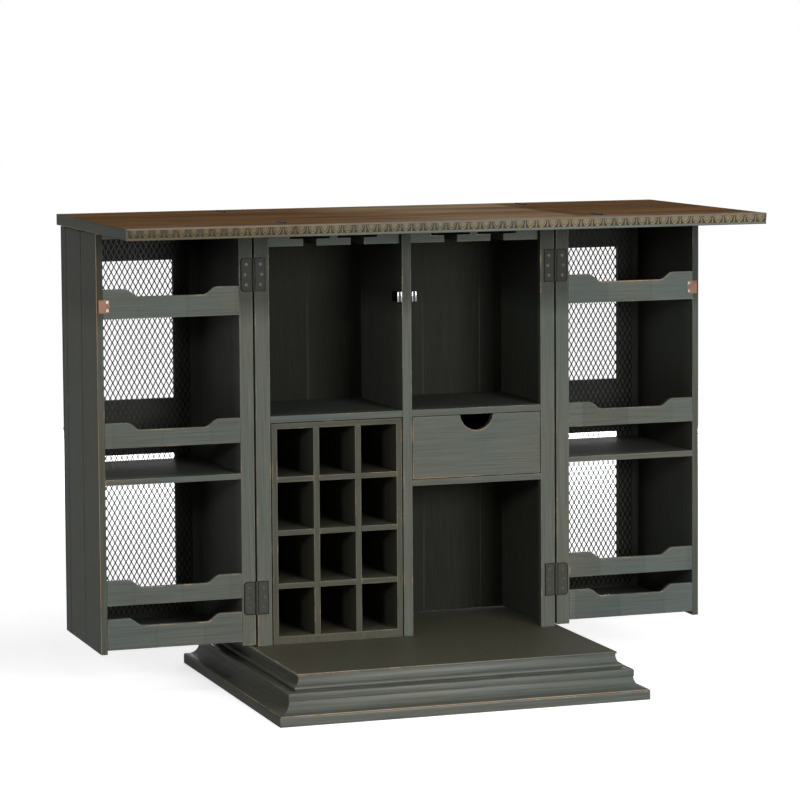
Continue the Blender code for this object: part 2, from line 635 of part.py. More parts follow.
def build_top(left_leaf, right_leaf):
    """Fixed centre of the top and its two leaves, each with a moulded front edge."""
    parts = (("top_centre", -seam + SEAM_GAP / 2, seam - SEAM_GAP / 2, (-1, 1), None),
             ("left_leaf", -leaf_outer, -leaf_inner, (-1,), left_leaf),
             ("right_leaf", leaf_inner, leaf_outer, (1,), right_leaf))
    nose = HEIGHT - TOP_NOSE_HEIGHT
    bead = top_underside + TOP_BEAD_HEIGHT
    ovolo = -top_front + OVOLO_DEPTH
    bead_front = -top_front + OVOLO_DEPTH / 2
    back = -top_board_front - TOUCH
    profile = [(back, HEIGHT), (-top_front, HEIGHT), (-top_front, nose)]
    profile += arc((ovolo, nose), (OVOLO_DEPTH, bead - nose), pi, pi / 2)[1:]
    profile += [(bead_front, bead), (bead_front, top_underside), (back, top_underside)]
    for name, low, high, sides, body in parts:
        bm = bmesh.new()
        add_box(bm, (low, high), (-top_board_front, top_back), (top_underside, HEIGHT))
        board = finish(name, bm, TOP_WOOD, body)
        form_seam_hinges(board, sides, 1 if body else -1)
        bm = bmesh.new()
        add_prism(bm, profile, "X", low, high)
        finish(name + "_moulding", bm, MOULDING_PAINT, body)


def gallery_outline(bottom, height):
    """Front outline of a gallery rail: high ends, curved ramps and a low middle; d from the hinge."""
    top = bottom + height
    steps = 2 * ARC_STEPS
    ramp = []
    for i in range(steps + 1):
        fall = (1 - cos(pi * i / steps)) / 2
        ramp.append((GALLERY_END + GALLERY_RAMP * i / steps, top - GALLERY_SCOOP * fall))
    outline = [(door_inner, bottom), (door_outer, bottom), (door_outer, top)]
    outline += [(door_outer - d, z) for d, z in ramp]
    outline += [(door_inner + d, z) for d, z in reversed(ramp)]
    outline.append((door_inner, top))
    return outline


def knob(side):
    """Turned knob on the mesh frame's outer face, near the free edge."""
    neck = KNOB_NECK_RADIUS / KNOB_RADIUS
    profile = ((0.0, 0.0), (0.62, 0.0), (0.55, 0.12), (neck, 0.25), (neck, 0.42), (0.86, 0.52),
               (1.0, 0.68), (0.95, 0.84), (0.6, 0.96), (0.0, 1.0))
    centre = Vector((side * (door_edge + door_width - KNOB_EDGE_DISTANCE), FACE + DOOR_DEPTH + TOUCH,
                     lower_opening + opening_height + MESH_MIDDLE_RAIL / 2))
    bm = bmesh.new()
    points = [bm.verts.new(centre + Vector((radius * KNOB_RADIUS, along * KNOB_PROJECTION, 0.0)))
              for radius, along in profile]
    edges = [bm.edges.new(pair) for pair in zip(points, points[1:])]
    bmesh.ops.spin(bm, geom=points + edges, cent=centre, axis=(0.0, 1.0, 0.0), angle=2 * pi,
                   steps=ROUND_SIDES, use_merge=True)
    bmesh.ops.remove_doubles(bm, verts=bm.verts, dist=1e-6)
    return bm


def spread(low, high, count):
    """Count equal steps from low to high, both ends included."""
    return [low + (high - low) * i / count for i in range(count + 1)]


def mesh_sheet(side):
    """Expanded metal: diamonds left open between slit and stretched strands, with whole margins."""
    columns = max(1, round((opening_far - opening_near) / MESH_DIAMOND_WIDTH))
    rows = max(1, round(opening_height / MESH_DIAMOND_HEIGHT))
    across = [opening_near - MESH_LAP] + spread(opening_near, opening_far, columns)
    across.append(opening_far + MESH_LAP)
    up = [lower_opening - MESH_END_LAP] + spread(lower_opening, lower_opening + opening_height, rows)
    up += spread(upper_opening, upper_opening + opening_height, rows)
    up.append(upper_opening + opening_height + MESH_END_LAP)

    bm = bmesh.new()
    grid = [[bm.verts.new((side * (door_edge + d), FACE + mesh_front, z)) for d in across] for z in up]
    cells = []
    margin = set()
    for j in range(len(up) - 1):
        for i in range(len(across) - 1):
            face = bm.faces.new((grid[j][i], grid[j][i + 1], grid[j + 1][i + 1], grid[j + 1][i]))
            if 0 < i <= columns and (0 < j <= rows or rows + 1 < j <= 2 * rows + 1):
                cells.append(face)
            else:
                margin.add(face)
    shared = [edge for edge in bm.edges if len(edge.link_faces) == 2
              and not any(face in margin for face in edge.link_faces)]
    bmesh.ops.poke(bm, faces=cells)
    bmesh.ops.dissolve_edges(bm, edges=shared, use_verts=False)
    diamonds = [face for face in bm.faces if face not in margin]
    bmesh.ops.inset_individual(bm, faces=diamonds, thickness=MESH_STRAND / 2)
    bmesh.ops.delete(bm, geom=diamonds, context="FACES")
    grown = bmesh.ops.extrude_face_region(bm, geom=bm.faces[:])
    moved = [item for item in grown["geom"] if isinstance(item, bmesh.types.BMVert)]
    bmesh.ops.translate(bm, verts=moved, vec=(0.0, MESH_THICKNESS, 0.0))
    return bm


def build_door(word, side, body):
    """One deep door: a case of boards with shelves and gallery rails, closed by a mesh panel."""

    def span(low, high):
        return side * (door_edge + low), side * (door_edge + high)

    def board(name, d, y, z):
        bm = bmesh.new()
        add_box(bm, span(*d), y, z)
        return finish(word + name, bm, FRONT_PAINT, body)

    def gallery(bottom, rise):
        bm = bmesh.new()
        outline = [(side * (door_edge + d), z) for d, z in gallery_outline(bottom, rise)]
        add_prism(bm, outline, "Y", 0.0, GALLERY_THICKNESS)
        return bm

    inside = (door_inner, door_outer)
    height = (door_bottom, door_top)
    board("_hinge_side", (0.0, HINGE_SIDE_THICKNESS), (0.0, door_back), height)
    near, far = span(door_width - OUTER_SIDE_THICKNESS, door_width)
    finish(word + "_outer_side", grooved_side(near, far, 0.0, door_back, *height), SIDE_PAINT, body)
    board("_top", inside, (0.0, door_back), (door_top - DOOR_BOARD_THICKNESS, door_top))
    board("_shelf_middle", inside, (0.0, shelf_back),
          (middle_shelf, middle_shelf + DOOR_MIDDLE_SHELF_THICKNESS))

    behind_lap = GALLERY_THICKNESS - GLUED_LAP
    for name, bottom, rise, back in (("_floor", door_floor, LOWER_GALLERY_HEIGHT, door_back),
                                     ("_shelf_upper", upper_shelf, UPPER_GALLERY_HEIGHT, shelf_back)):
        shelf = board(name, inside, (behind_lap, back), (bottom, bottom + DOOR_BOARD_THICKNESS))
        combine(shelf, word + name + "_gallery", gallery(bottom, rise), "UNION")
    finish(word + "_gallery_lower", gallery(lower_gallery, FREE_GALLERY_HEIGHT), FRONT_PAINT, body)
    finish(word + "_gallery_middle", gallery(middle_gallery, FREE_GALLERY_HEIGHT), FRONT_PAINT, body)

    frame = board("_mesh_frame", (0.0, door_width), (mesh_frame_front, DOOR_DEPTH), height)
    windows = bmesh.new()
    for bottom in (lower_opening, upper_opening):
        add_box(windows, span(opening_near, opening_far),
                (mesh_frame_front - GLUED_LAP, DOOR_DEPTH + GLUED_LAP), (bottom, bottom + opening_height))
    combine(frame, word + "_mesh_frame_windows", windows)
    finish(word + "_mesh", mesh_sheet(side), MESH_STEEL, body)
    finish(word + "_knob", knob(side), KNOB_IRON, body, smooth=True)
    build_strike_plate(word, side, body)


def build_strike_plate(word, side, body):
    """Thin plate on the door's front edge that the catch pulls on, with three screw holes."""
    outer = door_width - STRIKE_EDGE_DISTANCE
    inner = outer - STRIKE_WIDTH
    x = (side * (door_edge + inner), side * (door_edge + outer))
    bm = bmesh.new()
    add_box(bm, x, (-TOUCH - STRIKE_THICKNESS, -TOUCH),
            (strike_centre - STRIKE_HEIGHT / 2, strike_centre + STRIKE_HEIGHT / 2))
    plate = finish(word + "_strike_plate", bm, COPPER, body)
    holes = bmesh.new()
    for step in (-1, 0, 1):
        centre = (side * (door_edge + inner + STRIKE_HOLE_INSET), FACE - STRIKE_THICKNESS,
                  strike_centre + step * STRIKE_HOLE_PITCH)
        add_rod(holes, "Y", centre, STRIKE_HOLE_RADIUS, 4 * STRIKE_THICKNESS, 8)
    combine(plate, word + "_strike_holes", holes)


def hinge_leaf(reach, hand, corner):
    """Leaf of a butt hinge in its own frame: pin along Z at the origin, plate off to one side in X.

    The plate lies behind the pin in Y, and is rolled round the pin into the knuckle.
    """
    far = DOOR_AXIS_FRONT - TOUCH
    near = far - DOOR_HINGE_PLATE
    outline = arc((0.0, 0.0), (DOOR_KNUCKLE_RADIUS, DOOR_KNUCKLE_RADIUS),
                  asin(far / DOOR_KNUCKLE_RADIUS), 2 * pi + asin(near / DOOR_KNUCKLE_RADIUS), 12)
    outline += [(reach, near), (reach, far)]
    bm = bmesh.new()
    add_prism(bm, [(x, y - FACE) for x, y in outline], "Z", -DOOR_HINGE_HEIGHT / 2, DOOR_HINGE_HEIGHT / 2)
    if corner:
        rims = [edge for edge in bm.edges if all(v.co.x > reach - TOUCH for v in edge.verts)
                and abs(edge.verts[0].co.z - edge.verts[1].co.z) < TOUCH]
        bmesh.ops.bevel(bm, geom=rims, offset=corner, segments=3, profile=0.5, affect="EDGES", material=-1)
    bmesh.ops.scale(bm, verts=bm.verts, vec=(hand, 1.0, 1.0))
    return bm


def build_door_hinges(word, side, body):
    """Two butt hinges: the cabinet's leaf holds the pin, and the door's leaf turns on it."""
    knuckle = DOOR_HINGE_HEIGHT / DOOR_KNUCKLES
    slot = DOOR_KNUCKLE_RADIUS + KNUCKLE_CLEARANCE
    for name, level in (("_upper", door_top - DOOR_HINGE_FROM_TOP),
                        ("_lower", door_bottom + DOOR_HINGE_FROM_BOTTOM)):
        pin = Vector((side * door_axis, FACE - DOOR_AXIS_FRONT, level))
        leaves = (("_hinge_cabinet_leaf", BODY_LEAF_REACH, -side, 0.0, 0, None),
                  ("_hinge_door_leaf", DOOR_LEAF_REACH, side, DOOR_LEAF_ROUND, 1, body))
        for ending, reach, hand, corner, first, parent in leaves:
            bm = hinge_leaf(reach, hand, corner)
            bmesh.ops.translate(bm, verts=bm.verts, vec=pin)
            leaf = finish(word + name + ending, bm, HINGE_METAL, parent, smooth=True)
            gaps = bmesh.new()
            for number in range(1 - first, DOOR_KNUCKLES, 2):
                low = level - DOOR_HINGE_HEIGHT / 2 + number * knuckle
                past_bottom = slot if number == 0 else TOUCH / 2
                past_top = slot if number == DOOR_KNUCKLES - 1 else TOUCH / 2
                add_box(gaps, (pin.x - slot, pin.x + slot),
                        (-DOOR_AXIS_FRONT - slot, -DOOR_AXIS_FRONT + slot),
                        (low - past_bottom, low + knuckle + past_top))
            combine(leaf, leaf.name + "_gaps", gaps)
            rod = bmesh.new()
            if parent:
                add_rod(rod, "Z", pin, DOOR_PIN_RADIUS + PIN_CLEARANCE, DOOR_HINGE_HEIGHT + 2 * slot, 12)
                combine(leaf, leaf.name + "_bore", rod)
            else:
                add_rod(rod, "Z", pin, DOOR_PIN_RADIUS, DOOR_HINGE_HEIGHT - TOUCH, 12)
                combine(leaf, leaf.name + "_pin", rod, "UNION")


clear_scene()
build_base_moulding()
build_plinth_top()
build_body()
build_shelves()
build_wine_rack()
build_drawer(pivot("drawer_slide", bay_centre, FACE, drawer_bottom))
build_catches()
build_top(pivot("left_leaf_axis", -seam, FACE, HEIGHT + SEAM_AXIS_RISE),
          pivot("right_leaf_axis", seam, FACE, HEIGHT + SEAM_AXIS_RISE))
for door, hand in (("left_door", -1), ("right_door", 1)):
    axis = pivot(door + "_axis", hand * door_axis, FACE - DOOR_AXIS_FRONT, door_bottom)
    build_door(door, hand, axis)
    build_door_hinges(door, hand, axis)
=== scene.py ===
"""Bar cabinet: the looks of its painted boards, waxed top, carved edge, mesh and fittings."""
from math import cos, pi, radians, sin, sqrt

import bmesh
import bpy
from mathutils import Matrix, Vector


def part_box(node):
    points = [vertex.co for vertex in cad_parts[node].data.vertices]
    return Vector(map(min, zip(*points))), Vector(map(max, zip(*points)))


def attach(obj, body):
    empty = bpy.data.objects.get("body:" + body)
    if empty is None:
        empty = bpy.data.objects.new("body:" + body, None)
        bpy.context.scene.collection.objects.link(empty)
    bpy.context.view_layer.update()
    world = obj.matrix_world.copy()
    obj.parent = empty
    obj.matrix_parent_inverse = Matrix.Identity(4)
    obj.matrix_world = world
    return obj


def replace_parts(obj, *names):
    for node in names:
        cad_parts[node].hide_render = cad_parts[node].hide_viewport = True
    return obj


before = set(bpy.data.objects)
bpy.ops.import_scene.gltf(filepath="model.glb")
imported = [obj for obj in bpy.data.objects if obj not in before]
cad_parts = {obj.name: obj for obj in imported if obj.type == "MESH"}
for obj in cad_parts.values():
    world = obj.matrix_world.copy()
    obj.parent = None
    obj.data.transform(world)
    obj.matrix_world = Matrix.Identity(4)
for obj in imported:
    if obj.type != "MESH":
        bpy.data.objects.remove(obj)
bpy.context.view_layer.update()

# Camera: a long lens, left of the cabinet and a little above its top, with the verticals kept
# upright by a small shift, as in a catalogue photograph. Its numbers are fitted to the cabinet's
# straight edges.
scene = bpy.context.scene
scene.view_settings.view_transform = "Standard"
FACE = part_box("front_stile_left")[0].y  # front of the body's and the open doors' boards
camera_data = bpy.data.cameras.new("camera")
camera_data.lens = 149.27
camera_data.sensor_width = 36.0
camera_data.shift_y = -0.1
camera_data.clip_end = 60.0
camera = bpy.data.objects.new("camera", camera_data)
camera.matrix_world = (Matrix.Translation((-2.4220, -7.0587 + FACE, 1.4707))
                       @ Matrix.Rotation(radians(-18.82), 4, "Z")
                       @ Matrix.Rotation(radians(90.0 - 4.95), 4, "X")
                       @ Matrix.Rotation(radians(-0.39), 4, "Z"))
scene.collection.objects.link(camera)
scene.camera = camera


# Floor and room: a plain pale studio floor that keeps the cabinet's shadow. The camera and shiny
# things see white; what the floor throws back onto the cabinet stays soft and low.
def tone(code):
    """The linear colour of an sRGB hex code."""
    parts = [int(code[i:i + 2], 16) / 255 for i in (0, 2, 4)]
    return (*[c / 12.92 if c <= 0.04045 else ((c + 0.055) / 1.055) ** 2.4 for c in parts], 1.0)


def add(tree, kind, values=None, **settings):
    """Add a shader node with its settings; values fill its inputs or link them.

    Inputs go by name or place. Map Range has its value at 0, the range it comes from at 1 and 2
    and the one it goes to at 3 and 4; a colour Mix has its factor at 0 and its colours at 6 and 7.
    """
    node = tree.nodes.new("ShaderNode" + kind)
    for key, value in settings.items():
        setattr(node, key, value)
    for key, value in (values or {}).items():
        if isinstance(value, bpy.types.NodeSocket):
            tree.links.new(value, node.inputs[key])
        else:
            node.inputs[key].default_value = value
    return node


def seen_as_white(tree):
    """1 for the camera and for what a shiny face shows, 0 for the soft light of the room."""
    rays = add(tree, "LightPath").outputs
    seen = add(tree, "Math", {0: rays["Is Camera Ray"], 1: rays["Is Glossy Ray"]},
               operation="MAXIMUM").outputs[0]
    return add(tree, "Math", {0: seen, 1: rays["Is Transmission Ray"]},
               operation="MAXIMUM").outputs[0]


floor_mesh = bmesh.new()
bmesh.ops.create_grid(floor_mesh, x_segments=1, y_segments=1, size=30.0)
floor_data = bpy.data.meshes.new("floor")
floor_mesh.to_mesh(floor_data)
floor_mesh.free()
floor = bpy.data.objects.new("floor", floor_data)
scene.collection.objects.link(floor)
floor_paint = bpy.data.materials.new("studio_floor")
floor_paint.use_nodes = True
tree = floor_paint.node_tree
tree.nodes.remove(tree.nodes["Principled BSDF"])
dull = add(tree, "BsdfDiffuse", {"Color": tone("8c8c8a")}).outputs[0]
pale = add(tree, "BsdfDiffuse", {"Color": tone("e8e8e8")}).outputs[0]
place = add(tree, "TexCoord").outputs["Object"]
away = add(tree, "VectorMath", {0: place}, operation="LENGTH").outputs["Value"]
# full white from 4 m away; near the cabinet the lamps add the rest, less in its shadow
glow = add(tree, "MapRange", {0: away, 1: 1.2, 2: 4.0, 3: 0.75, 4: 1.0}).outputs[0]
glow = add(tree, "Emission", {"Color": tone("ffffff"), "Strength": glow}).outputs[0]
bright = add(tree, "AddShader", {0: pale, 1: glow}).outputs[0]
mixed = add(tree, "MixShader", {0: seen_as_white(tree), 1: dull, 2: bright}).outputs[0]
tree.links.new(mixed, tree.nodes["Material Output"].inputs["Surface"])
floor_data.materials.append(floor_paint)

room = bpy.data.worlds.new("studio")
room.use_nodes = True
scene.world = room
tree = room.node_tree
soft = add(tree, "Background", {"Color": tone("ffffff"), "Strength": 0.03}).outputs[0]
white = add(tree, "Background", {"Color": tone("ffffff"), "Strength": 1.0}).outputs[0]
mixed = add(tree, "MixShader", {0: seen_as_white(tree), 1: soft, 2: white}).outputs[0]
tree.links.new(mixed, tree.nodes["World Output"].inputs["Surface"])

# Lamps: one broad soft box in front, low and a little to the right, a small one at the left, one
# above, and one behind at the right for the back and the sides, low enough to keep off the top.
aim = Vector((0.0, 0.0, 0.55))
for name, place, power, width, height in (("key_softbox", (1.1, -4.7, 1.45), 194.0, 1.6, 1.2),
                                          ("left_softbox", (-3.2, -3.4, 1.75), 31.0, 0.7, 0.6),
                                          ("top_softbox", (-0.2, -1.2, 3.4), 28.0, 1.6, 1.2),
                                          ("back_softbox", (1.6, 4.6, 0.55), 150.0, 2.4, 0.9)):
    lamp = bpy.data.lights.new(name, "AREA")
    lamp.energy = power
    lamp.shape = "RECTANGLE"
    lamp.size = width
    lamp.size_y = height
    holder = bpy.data.objects.new(name, lamp)
    holder.location = place
    holder.rotation_euler = (aim - holder.location).to_track_quat("-Z", "Y").to_euler()
    scene.collection.objects.link(holder)


# Skirting and plinth board: pine boards with a machined cove, mitred and glued at the corners.
# Grey-green paint is brushed along the grain, then rubbed back to the pale wood at the edges.
def new_finish(name):
    """A new material, its tree and shader, and the place on the piece in metres."""
    made = bpy.data.materials.new(name)
    made.use_nodes = True
    tree = made.node_tree
    return made, tree, tree.nodes["Principled BSDF"], add(tree, "TexCoord").outputs["Object"]


def set_finish(tree, shader, colour, gloss, relief, strength, height):
    """Give a finish its colour, its roughness and a relief of some height in metres."""
    bump = add(tree, "Bump", {"Height": relief, "Strength": strength, "Distance": height}).outputs[0]
    for value, name in ((colour, "Base Color"), (gloss, "Roughness"), (bump, "Normal")):
        tree.links.new(value, shader.inputs[name])


def painted_shade_under_top(tree, spot):
    """A factor for painted shade on the upright boards under the top, from 820 mm up."""
    return add(tree, "MapRange", {0: spot["Z"], 1: 0.820, 2: 0.880, 3: 1.0, 4: 0.50}).outputs[0]


def painted_pine(name, along, light="6a6b62", dark="565850", slate="5f655f", joint=None, sheen=0.06):
    """Satin paint on pine: streaks of the brush along one axis, wood bare where 'rub' is high.

    Where 'inside' is set the paint turns to a darker inside coat deepened by painted shade,
    full from 60 mm behind the face. With a joint phase the board is made of finger-jointed
    blocks along X, each with its own tone.
    """
    made, tree, shader, place = new_finish(name)
    spot = add(tree, "SeparateXYZ", {0: place}).outputs
    # brush streaks some 3 mm wide and 150 mm long, and pores of 1 mm, drawn coarser than life
    stretch = Vector((330.0, 330.0, 330.0))
    stretch["XYZ".index(along)] = 7.0
    brushed = add(tree, "Mapping", {"Vector": place, "Scale": stretch}).outputs[0]
    streaks = add(tree, "TexNoise", {"Vector": brushed, "Scale": 1.0, "Detail": 4.0,
                                     "Roughness": 0.62}).outputs[0]
    pores = add(tree, "TexNoise", {"Vector": brushed, "Scale": 3.6, "Detail": 2.0}).outputs[0]
    clouds = add(tree, "TexNoise", {"Vector": place, "Scale": 3.2, "Detail": 3.0}).outputs[0]
    # paint: olive and slate in broad clouds, darker in the streaks
    hue = add(tree, "MapRange", {0: clouds, 1: 0.35, 2: 0.65}).outputs[0]
    cloudy = add(tree, "Mix", {0: hue, 6: tone(light), 7: tone(slate)}, data_type="RGBA").outputs[2]
    lines = add(tree, "MapRange", {0: streaks, 1: 0.30, 2: 0.62}).outputs[0]
    paint = add(tree, "Mix", {0: lines, 6: tone(dark), 7: cloudy}, data_type="RGBA").outputs[2]
    # the upright boards are darkened from 820 mm up: painted shade under the top
    if along == "Z":
        paint = add(tree, "Mix", {0: 1.0, 6: paint, 7: painted_shade_under_top(tree, spot)}, data_type="RGBA",
                    blend_type="MULTIPLY").outputs[2]
    if joint is not None:
        # blocks 111 mm long, joined with teeth of 7 mm
        teeth = add(tree, "Math", {0: spot["Z"], 1: 0.0035}, operation="PINGPONG").outputs[0]
        count = add(tree, "Math", {0: teeth, 1: 2.0, 2: spot["X"]},
                    operation="MULTIPLY_ADD").outputs[0]
        count = add(tree, "Math", {0: count, 1: 9.0, 2: joint}, operation="MULTIPLY_ADD").outputs[0]
        number = add(tree, "Math", {0: count}, operation="FLOOR").outputs[0]
        piece_tone = add(tree, "TexWhiteNoise", {"W": number}, noise_dimensions="1D").outputs["Value"]
        piece_tone = add(tree, "MapRange", {0: piece_tone, 3: 0.88, 4: 1.09}).outputs[0]
        seam_line = add(tree, "Math", {0: count}, operation="FRACT").outputs[0]
        seam_line = add(tree, "MapRange", {0: seam_line, 1: 0.006, 2: 0.014, 3: 0.62}).outputs[0]
        piece_tone = add(tree, "Math", {0: piece_tone, 1: seam_line}, operation="MULTIPLY").outputs[0]
        paint = add(tree, "Mix", {0: 1.0, 6: paint, 7: piece_tone}, data_type="RGBA",
                    blend_type="MULTIPLY").outputs[2]
    # a darker inside coat with painted shade, growing over the first 60 mm behind the face
    depth = add(tree, "MapRange", {0: spot["Y"], 1: FACE + 0.002, 2: FACE + 0.06}).outputs[0]
    inside = add(tree, "Attribute", attribute_name="inside").outputs["Fac"]
    inside = add(tree, "Math", {0: depth, 1: inside}, operation="MULTIPLY").outputs[0]
    # the dark inside coat, which also stands in for the shade inside
    coat = add(tree, "Mix", {0: lines, 6: tone("161612"), 7: tone("22221c")},
               data_type="RGBA").outputs[2]
    paint = add(tree, "Mix", {0: inside, 6: paint, 7: coat}, data_type="RGBA").outputs[2]
    # wear and a pale painted highlight: strongest on the arrises, in patches some 60 mm long with
    # ragged ends
    rub = add(tree, "Attribute", attribute_name="rub").outputs["Fac"]
    rub = add(tree, "Math", {0: inside, 1: -0.5, 2: rub}, operation="MULTIPLY_ADD").outputs[0]
    patches = add(tree, "TexNoise", {"Vector": place, "Scale": 15.0, "Detail": 3.0}).outputs[0]
    ragged = add(tree, "TexNoise", {"Vector": place, "Scale": 160.0, "Detail": 2.0}).outputs[0]
    where = add(tree, "Math", {0: patches, 1: 1.5, 2: rub}, operation="MULTIPLY_ADD").outputs[0]
    where = add(tree, "Math", {0: ragged, 1: 0.6, 2: where}, operation="MULTIPLY_ADD").outputs[0]
    bare = add(tree, "MapRange", {0: where, 1: 2.12, 2: 2.32}).outputs[0]
    # pale arrises: partly paint worn thin, partly a painted highlight
    thin_paint_and_highlight = add(tree, "MapRange", {0: where, 1: 1.50, 2: 2.10, 4: 0.35}).outputs[0]
    worn = add(tree, "Mix", {0: thin_paint_and_highlight, 6: paint, 7: tone("8f8b7a")}, data_type="RGBA").outputs[2]
    wood = add(tree, "Mix", {0: lines, 6: tone("9c7c58"), 7: tone("c4a27a")},
               data_type="RGBA").outputs[2]
    colour = add(tree, "Mix", {0: bare, 6: worn, 7: wood}, data_type="RGBA").outputs[2]
    shader.inputs["Specular IOR Level"].default_value = sheen
    gloss = add(tree, "MapRange", {0: streaks, 3: 0.56 - 0.6 * sheen,
                                   4: 0.72 - 0.6 * sheen}).outputs[0]
    gloss = add(tree, "Math", {0: bare, 1: 0.22, 2: gloss}, operation="MULTIPLY_ADD").outputs[0]
    relief = add(tree, "Math", {0: pores, 1: 0.5, 2: streaks}, operation="MULTIPLY_ADD").outputs[0]
    set_finish(tree, shader, colour, gloss, relief, 0.35, 0.0006)
    return made


front_paint = {axis: painted_pine("brushed_green_paint_along_" + axis.lower(), axis, slate=slate)
               for axis, slate in (("X", "5b6664"), ("Y", "5b6664"), ("Z", "5d665f"))}
# the same green paint made darker for sides, ends, backs, edges and undersides: painted shade
side_paint = {axis: painted_pine("green_paint_in_painted_shade_along_" + axis.lower(), axis,
                                 "5a5c51", "494b40", "575e58") for axis in "XYZ"}


def finished(name, bm, body, coats, smooth=True, crease=38):
    """Make a piece of the scene from a bmesh; it rides on a body and has its coats.

    Smooth faces that meet at more than the crease, in degrees, show an edge between them.
    Where smooth isn't set, each face stays as it is; a sheet of flat faces has no crease.
    """
    for face in bm.faces:
        face.smooth |= smooth
    data = bpy.data.meshes.new(name)
    bm.to_mesh(data)
    bm.free()
    if crease:
        data.set_sharp_from_angle(angle=radians(crease))
    for coat in coats:
        data.materials.append(coat)
    piece = bpy.data.objects.new(name, data)
    scene.collection.objects.link(piece)
    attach(piece, body)
    return piece


def eased(node, body, paints, ease=0.0011, ring=0.004, choose=None, rub=None, skip=None,
          inside=None):
    """A board like the CAD node with its arrises eased, and 'rub' marked in a ring inside them.

    choose(face) gives the place in paints, rub(point) the strength of wear, skip(edge) leaves an
    edge as it is, and inside(face) says how much dark inside coat and painted shade a face has.
    """
    bm = bmesh.new()
    bm.from_mesh(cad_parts[node].data)
    bmesh.ops.remove_doubles(bm, verts=bm.verts, dist=1e-6)
    bmesh.ops.dissolve_limit(bm, angle_limit=radians(0.5), verts=bm.verts, edges=bm.edges)
    arrises = [edge for edge in bm.edges if len(edge.link_faces) == 2
               and edge.calc_face_angle(0.0) > radians(28) and not (skip and skip(edge))]
    rounded = bmesh.ops.bevel(bm, geom=arrises, offset=ease, offset_type="OFFSET", segments=2,
                              profile=0.5, affect="EDGES", clamp_overlap=True, material=-1)["faces"]
    layer = bm.loops.layers.float.new("rub")
    hidden = bm.loops.layers.float.new("inside")
    rounded = set(rounded)
    wide = []  # flat faces with room for a ring
    for face in bm.faces:
        face.smooth = True
        if face in rounded:
            for loop in face.loops:
                loop[layer] = 1.0
            continue
        turn = face.normal.to_track_quat("Z", "Y").to_matrix().transposed()
        flat = [turn @ vert.co for vert in face.verts]
        spans = [max(p[i] for p in flat) - min(p[i] for p in flat) for i in (0, 1)]
        if min(spans) > 3.2 * ring and face.calc_area() > 0.0004:
            wide.append(face)
    # a face with an opening comes in several parts, which are edged together as one
    parted = [face for face in wide
              if any(edge.calc_face_angle(1.0) < 0.01 for edge in face.edges)]
    whole = [face for face in wide if face not in parted]
    bands = bmesh.ops.inset_individual(bm, faces=whole, thickness=ring,
                                       use_even_offset=True)["faces"]
    bands += bmesh.ops.inset_region(bm, faces=parted, thickness=ring, use_boundary=True,
                                    use_even_offset=True)["faces"]
    inner = {vert for face in wide for vert in face.verts}
    for face in bands:
        for loop in face.loops:
            loop[layer] = 0.0 if loop.vert in inner else 0.8
    for face in bands + wide:
        face.smooth = False
    if rub:
        for face in bm.faces:
            for loop in face.loops:
                loop[layer] *= rub(loop.vert.co)
    for face in bm.faces:
        covered = inside(face) if inside else 0.0
        for loop in face.loops:
            loop[hidden] = covered
        if choose:
            face.material_index = choose(face)
    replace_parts(finished(node + "_board", bm, body, paints, smooth=False), node)


satin_paint = painted_pine("satin_green_paint_on_skirting", "X",
                           "57584f", "3f413a", "525853", sheen=0.3)
plinth_paint = painted_pine("dark_satin_paint_on_plinth_board", "X",
                            "514f40", "413f33", "4c4c40", sheen=0.25)
half_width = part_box("base_moulding")[1].x
half_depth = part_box("base_moulding")[1].y
arris_low, arris_high = 0.018, 0.027  # the foot's upper arris lies between these heights


def skirting_wear(p):
    """The foot's upper arris is rubbed all along, most at the front corners."""
    # other arrises turn only pale: a painted highlight
    if not arris_low < p.z < arris_high:
        return 0.78
    return 1.10 + 0.25 * (abs(p.x) > half_width - 0.06) if p.y < 0.0 else 1.0


eased("base_moulding", "cabinet", [satin_paint, side_paint["Y"]], ease=0.0009,
      choose=lambda face: int(abs(face.calc_center_median().x) - half_width
                              > abs(face.calc_center_median().y) - half_depth),
      rub=skirting_wear)
# the plinth board's edges turn pale, a painted highlight; at the front of its left half they wear
# through
eased("plinth_top", "cabinet", [satin_paint, plinth_paint], ease=0.0010,
      choose=lambda face: int(face.normal.z > 0.9),
      rub=lambda p: 1.25 if p.x < 0.0 and p.y < 0.0 else 0.72)

# The bead under the plinth board stands proud, a full half round with a dark quirk below it.
bead_radius = 0.005
bead_height = 0.0715
bead_out = 0.0052  # its middle stands this far outside the plinth board's lip
lip_low, lip_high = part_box("plinth_top")
bm = bmesh.new()
corners = []
for x, y, out_x, out_y in ((lip_low.x, lip_low.y, -1, -1), (lip_high.x, lip_low.y, 1, -1),
                           (lip_high.x, lip_high.y, 1, 1), (lip_low.x, lip_high.y, -1, 1)):
    ring = bmesh.ops.create_circle(bm, segments=16, radius=bead_radius)["verts"]
    corners.append({edge for vert in ring for edge in vert.link_edges})
    for vert in ring:
        out = bead_out + vert.co.x
        vert.co = Vector((x + out_x * out, y + out_y * out, bead_height + vert.co.y))
for here, there in zip(corners, corners[1:] + corners[:1]):
    bmesh.ops.bridge_loops(bm, edges=list(here | there))
bmesh.ops.recalc_face_normals(bm, faces=bm.faces)
for face in bm.faces:
    face.material_index = int(abs(face.normal.x) > abs(face.normal.y))
finished("skirting_bead", bm, "cabinet", [satin_paint, side_paint["Y"]], crease=50)


# Body: two sides and a back of tongued boards, two front stiles, a partition, shelves and a panel
# under the top with three hanging rails in each bay, all glued up and painted before fitting.
back_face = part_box("back_panel")[0].y
side_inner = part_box("body_side_right")[1].x - 0.012  # past every face of a side that looks in
under_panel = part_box("top_panel")[1].z - 0.013  # the hanging rails are below this, along Y


